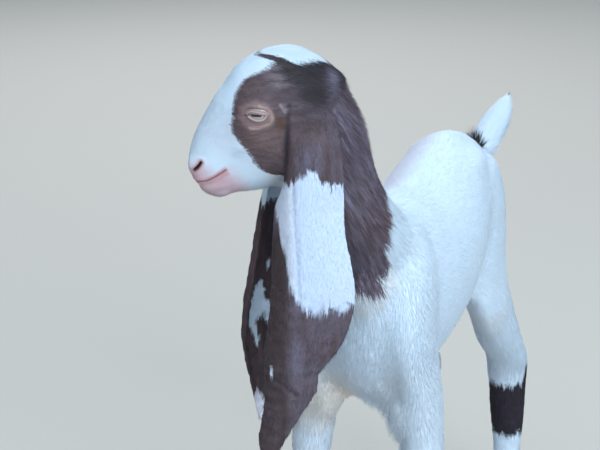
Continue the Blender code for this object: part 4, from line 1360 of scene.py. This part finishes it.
def coat_roots(points, faces, regions):
    """Every tuft's root with its lie, size, colour and place on the sheet."""
    edges = edges_of(faces)
    normals = normals_of(points, faces)
    lie = spread(lie_directions(points, regions), edges, 25)
    bare = bareness(points, regions)
    length = spread(coat_lengths(points, regions, bare), edges, 8)
    depth = spread(by_region(DEPTH, regions), edges, 6)
    face, shares = scatter(points, faces, regions, seed=41)
    rows = faces[face]

    def at_roots(values):
        picked = values[rows]
        return (picked * shares.reshape(shares.shape + (1,) * (picked.ndim - 2))).sum(axis=1)

    place, normal, way = at_roots(points), unit(at_roots(normals)), at_roots(lie)
    region = regions[rows[:, 0]]
    random = np.random.default_rng(43)
    kept = at_roots(bare) + 0.25 * random.uniform(-1, 1, len(place)) < 0.5
    place, normal, way, region, rows, shares = (
        values[kept] for values in (place, normal, way, region, rows, shares))
    count = len(place)
    tall = at_roots(length) * random.uniform(0.7, 1.2, count)
    wave = noise(place, 1.2, 44)[:, None] * np.cross(normal, way) * WAVE
    stray = random.normal(0, STRAY, (count, 3))
    flat = way + wave + stray
    flat = unit(flat - normal * np.minimum((flat * normal).sum(axis=1, keepdims=True), 0.6))
    lift = np.clip(at_roots(depth) / np.maximum(tall, 0.1), 0.08, 0.5)
    lift *= random.uniform(0.45, 1.05, count)
    lift += 1.2 * brisket(place, region) * np.clip(-normal[:, 2], 0, 1)
    lift[is_kind(region, "tail")] += 0.22
    lift += 0.9 * ease(1.1, 0.8, croup_patch(place))
    lift += 0.3 * is_kind(region, "neck") * ease(46, 49, place[:, 2])
    pointing = unit(flat + normal * lift[:, None])
    wide = by_region(WIDTH, region) * random.uniform(0.75, 1.25, count)
    mixed = np.where(is_kind(region, "head"), 0.05, 0.11) * random.normal(0, 1, count)
    colour = coat_colours(place + flat * mixed[:, None], region)
    bright = colour.mean(axis=1)
    vary = np.where(bright > 0.4, random.normal(1.0, 0.028, count),
                    np.exp(random.normal(0, 0.28, count)))
    colour = np.clip(colour * vary[:, None], 0, 0.95)
    sheet, _ = sheet_places(place, normal, region)
    sheet = np.concatenate([sheet - PATCH / 2, np.zeros((count, 1))], axis=1)
    size = np.stack((wide, wide * FLATNESS, tall), axis=1)
    return {"place": place - normal * ROOT_DEPTH, "region": region, "size": size / 100,
            "way": pointing * TO_WORLD * 100, "away": normal * TO_WORLD * 100,
            "coat_colour": colour, "sheet": sheet}


def piece_groups(region, place):
    """Names of the coat's pieces and which roots each one takes."""
    groups = {}
    for kind in KIND_NAMES:
        found = np.flatnonzero(is_kind(region, kind))
        found = found[np.argsort(place[found, 0] + 0.6 * place[found, 1], kind="stable")]
        pieces = max(1, math.ceil(len(found) / MOST_TUFTS))
        for k, part in enumerate(np.array_split(found, pieces)):
            groups[f"coat_{kind}_{k + 1}"] = (kind, part)
    return groups


def make_coat(points, faces, regions):
    roots = coat_roots(points, faces, regions)
    tree = coat_tree(coat_material())
    groups = piece_groups(roots["region"], roots["place"])
    for seed, (name, (kind, part)) in enumerate(groups.items(), 50):
        rows = {key: values[part] for key, values in roots.items()}
        segments, bend = (2, TAIL_BEND) if kind == "tail" else (1, 0.0)
        tufts(name, tree, rows, segments, bend, seed)
    bpy.data.node_groups.remove(tree)


# Eyes and claws
def make_eyes():
    material = eye_material()
    for side, name in ((1, "eye_left"), (-1, "eye_right")):
        axes = eye_axes(side)
        points, faces = ball(np.zeros(3), EYE_RADIUS, rings=32)
        # The ball's pole looks out, so that the fine rings lie round the slit
        mesh = mesh_of(name + "_ball", points @ axes + eye_center(side), faces)
        store(mesh, "eye_place", points)
        mesh.materials.append(material)
        mesh.shade_smooth()
        reworked(mesh, lambda bm: bmesh.ops.recalc_face_normals(bm, faces=bm.faces))
        finish_piece(object_of(name + "_ball", mesh), [name])


def make_claws():
    names = [name for name in frame["nodes"] if name.startswith(("hoof", "dewclaw"))]
    parts = []
    for name in sorted(names):
        points, faces = node_arrays(name)
        obj = object_of(name + "_round", mesh_of(name + "_round", points, faces))
        even = obj.modifiers.new("even", "REMESH")
        even.mode = "VOXEL"
        even.voxel_size = CLAW_VOXELS[name.split("_")[0]]
        points, faces = arrays_of(applied(obj))
        points = spread(points, edges_of(faces), 6, 0.6)
        points[:, 2] = np.maximum(points[:, 2], 0.0)
        parts.append((points, faces))
    mesh = mesh_of("claws", *joined(parts))
    mesh.materials.append(horn_material())
    mesh.shade_smooth()
    finish_piece(object_of("claws", mesh), names)


# Floor, light and camera
FLOOR_REACH = 14.0
# Place, where it points, width, power and colour of each light
LIGHTS = {"sky": ((-0.6, -0.4, 3.2), (0, 0, 0.3), 3.6, 92, (0.80, 0.94, 1.0)),
          "side": ((-2.2, -2.6, 1.7), (0, 0, 0.35), 2.2, 84, (0.82, 0.94, 1.0)),
          "back": ((2.4, 1.4, 1.9), (0, 0, 0.4), 1.8, 30, (1.0, 0.97, 0.95))}
# Right, up and back of the view, and its place
VIEW_AXES = ((0.38542, -0.92274, 0.0), (0.28512, 0.11909, 0.95106), (-0.87759, -0.36656, 0.30899))
VIEW_PLACE = (-1.1994 + SHIFT[0], -0.4020 + SHIFT[1], 0.7839)


def area_light(name, place, target, size, power, colour):
    light = bpy.data.lights.new(name, "AREA")
    light.shape, light.size, light.energy, light.color = "DISK", size, power, colour
    way = Vector(place) - Vector(target)
    turn = way.to_track_quat("Z", "Y").to_matrix().to_4x4()
    object_of(name, light).matrix_world = Matrix.Translation(place) @ turn


def studio():
    mesh = bpy.data.meshes.new("floor")
    corners = [(x * FLOOR_REACH, y * FLOOR_REACH, 0)
               for x, y in ((-1, -1), (1, -1), (1, 1), (-1, 1))]
    mesh.from_pydata(corners, [], [(0, 1, 2, 3)])
    material, _, _ = new_material("floor", Base_Color=(0.46, 0.44, 0.42, 1), Roughness=0.9)
    mesh.materials.append(material)
    object_of("floor", mesh)
    for name, values in LIGHTS.items():
        area_light(name, *values)
    scene = bpy.context.scene
    scene.world = bpy.data.worlds.new("studio")
    scene.world.use_nodes = True
    tree = scene.world.node_tree
    fill(tree, tree.nodes["Background"], {"Color": (0.80, 0.92, 1.0, 1), "Strength": 0.55})
    scene.view_settings.view_transform = "Standard"


def camera():
    data = bpy.data.cameras.new("photo_view")
    data.lens, data.sensor_width, data.sensor_fit = 93.0, 36.0, "HORIZONTAL"
    obj = object_of("photo_view", data)
    turn = Matrix(VIEW_AXES).transposed().to_4x4()
    obj.matrix_world = Matrix.Translation(VIEW_PLACE) @ turn
    bpy.context.scene.camera = obj


def build():
    points, faces, regions = skin_arrays()
    make_skin(points, faces, regions)
    make_eyes()
    make_claws()
    make_coat(points, faces, regions)
    studio()
    camera()


build()
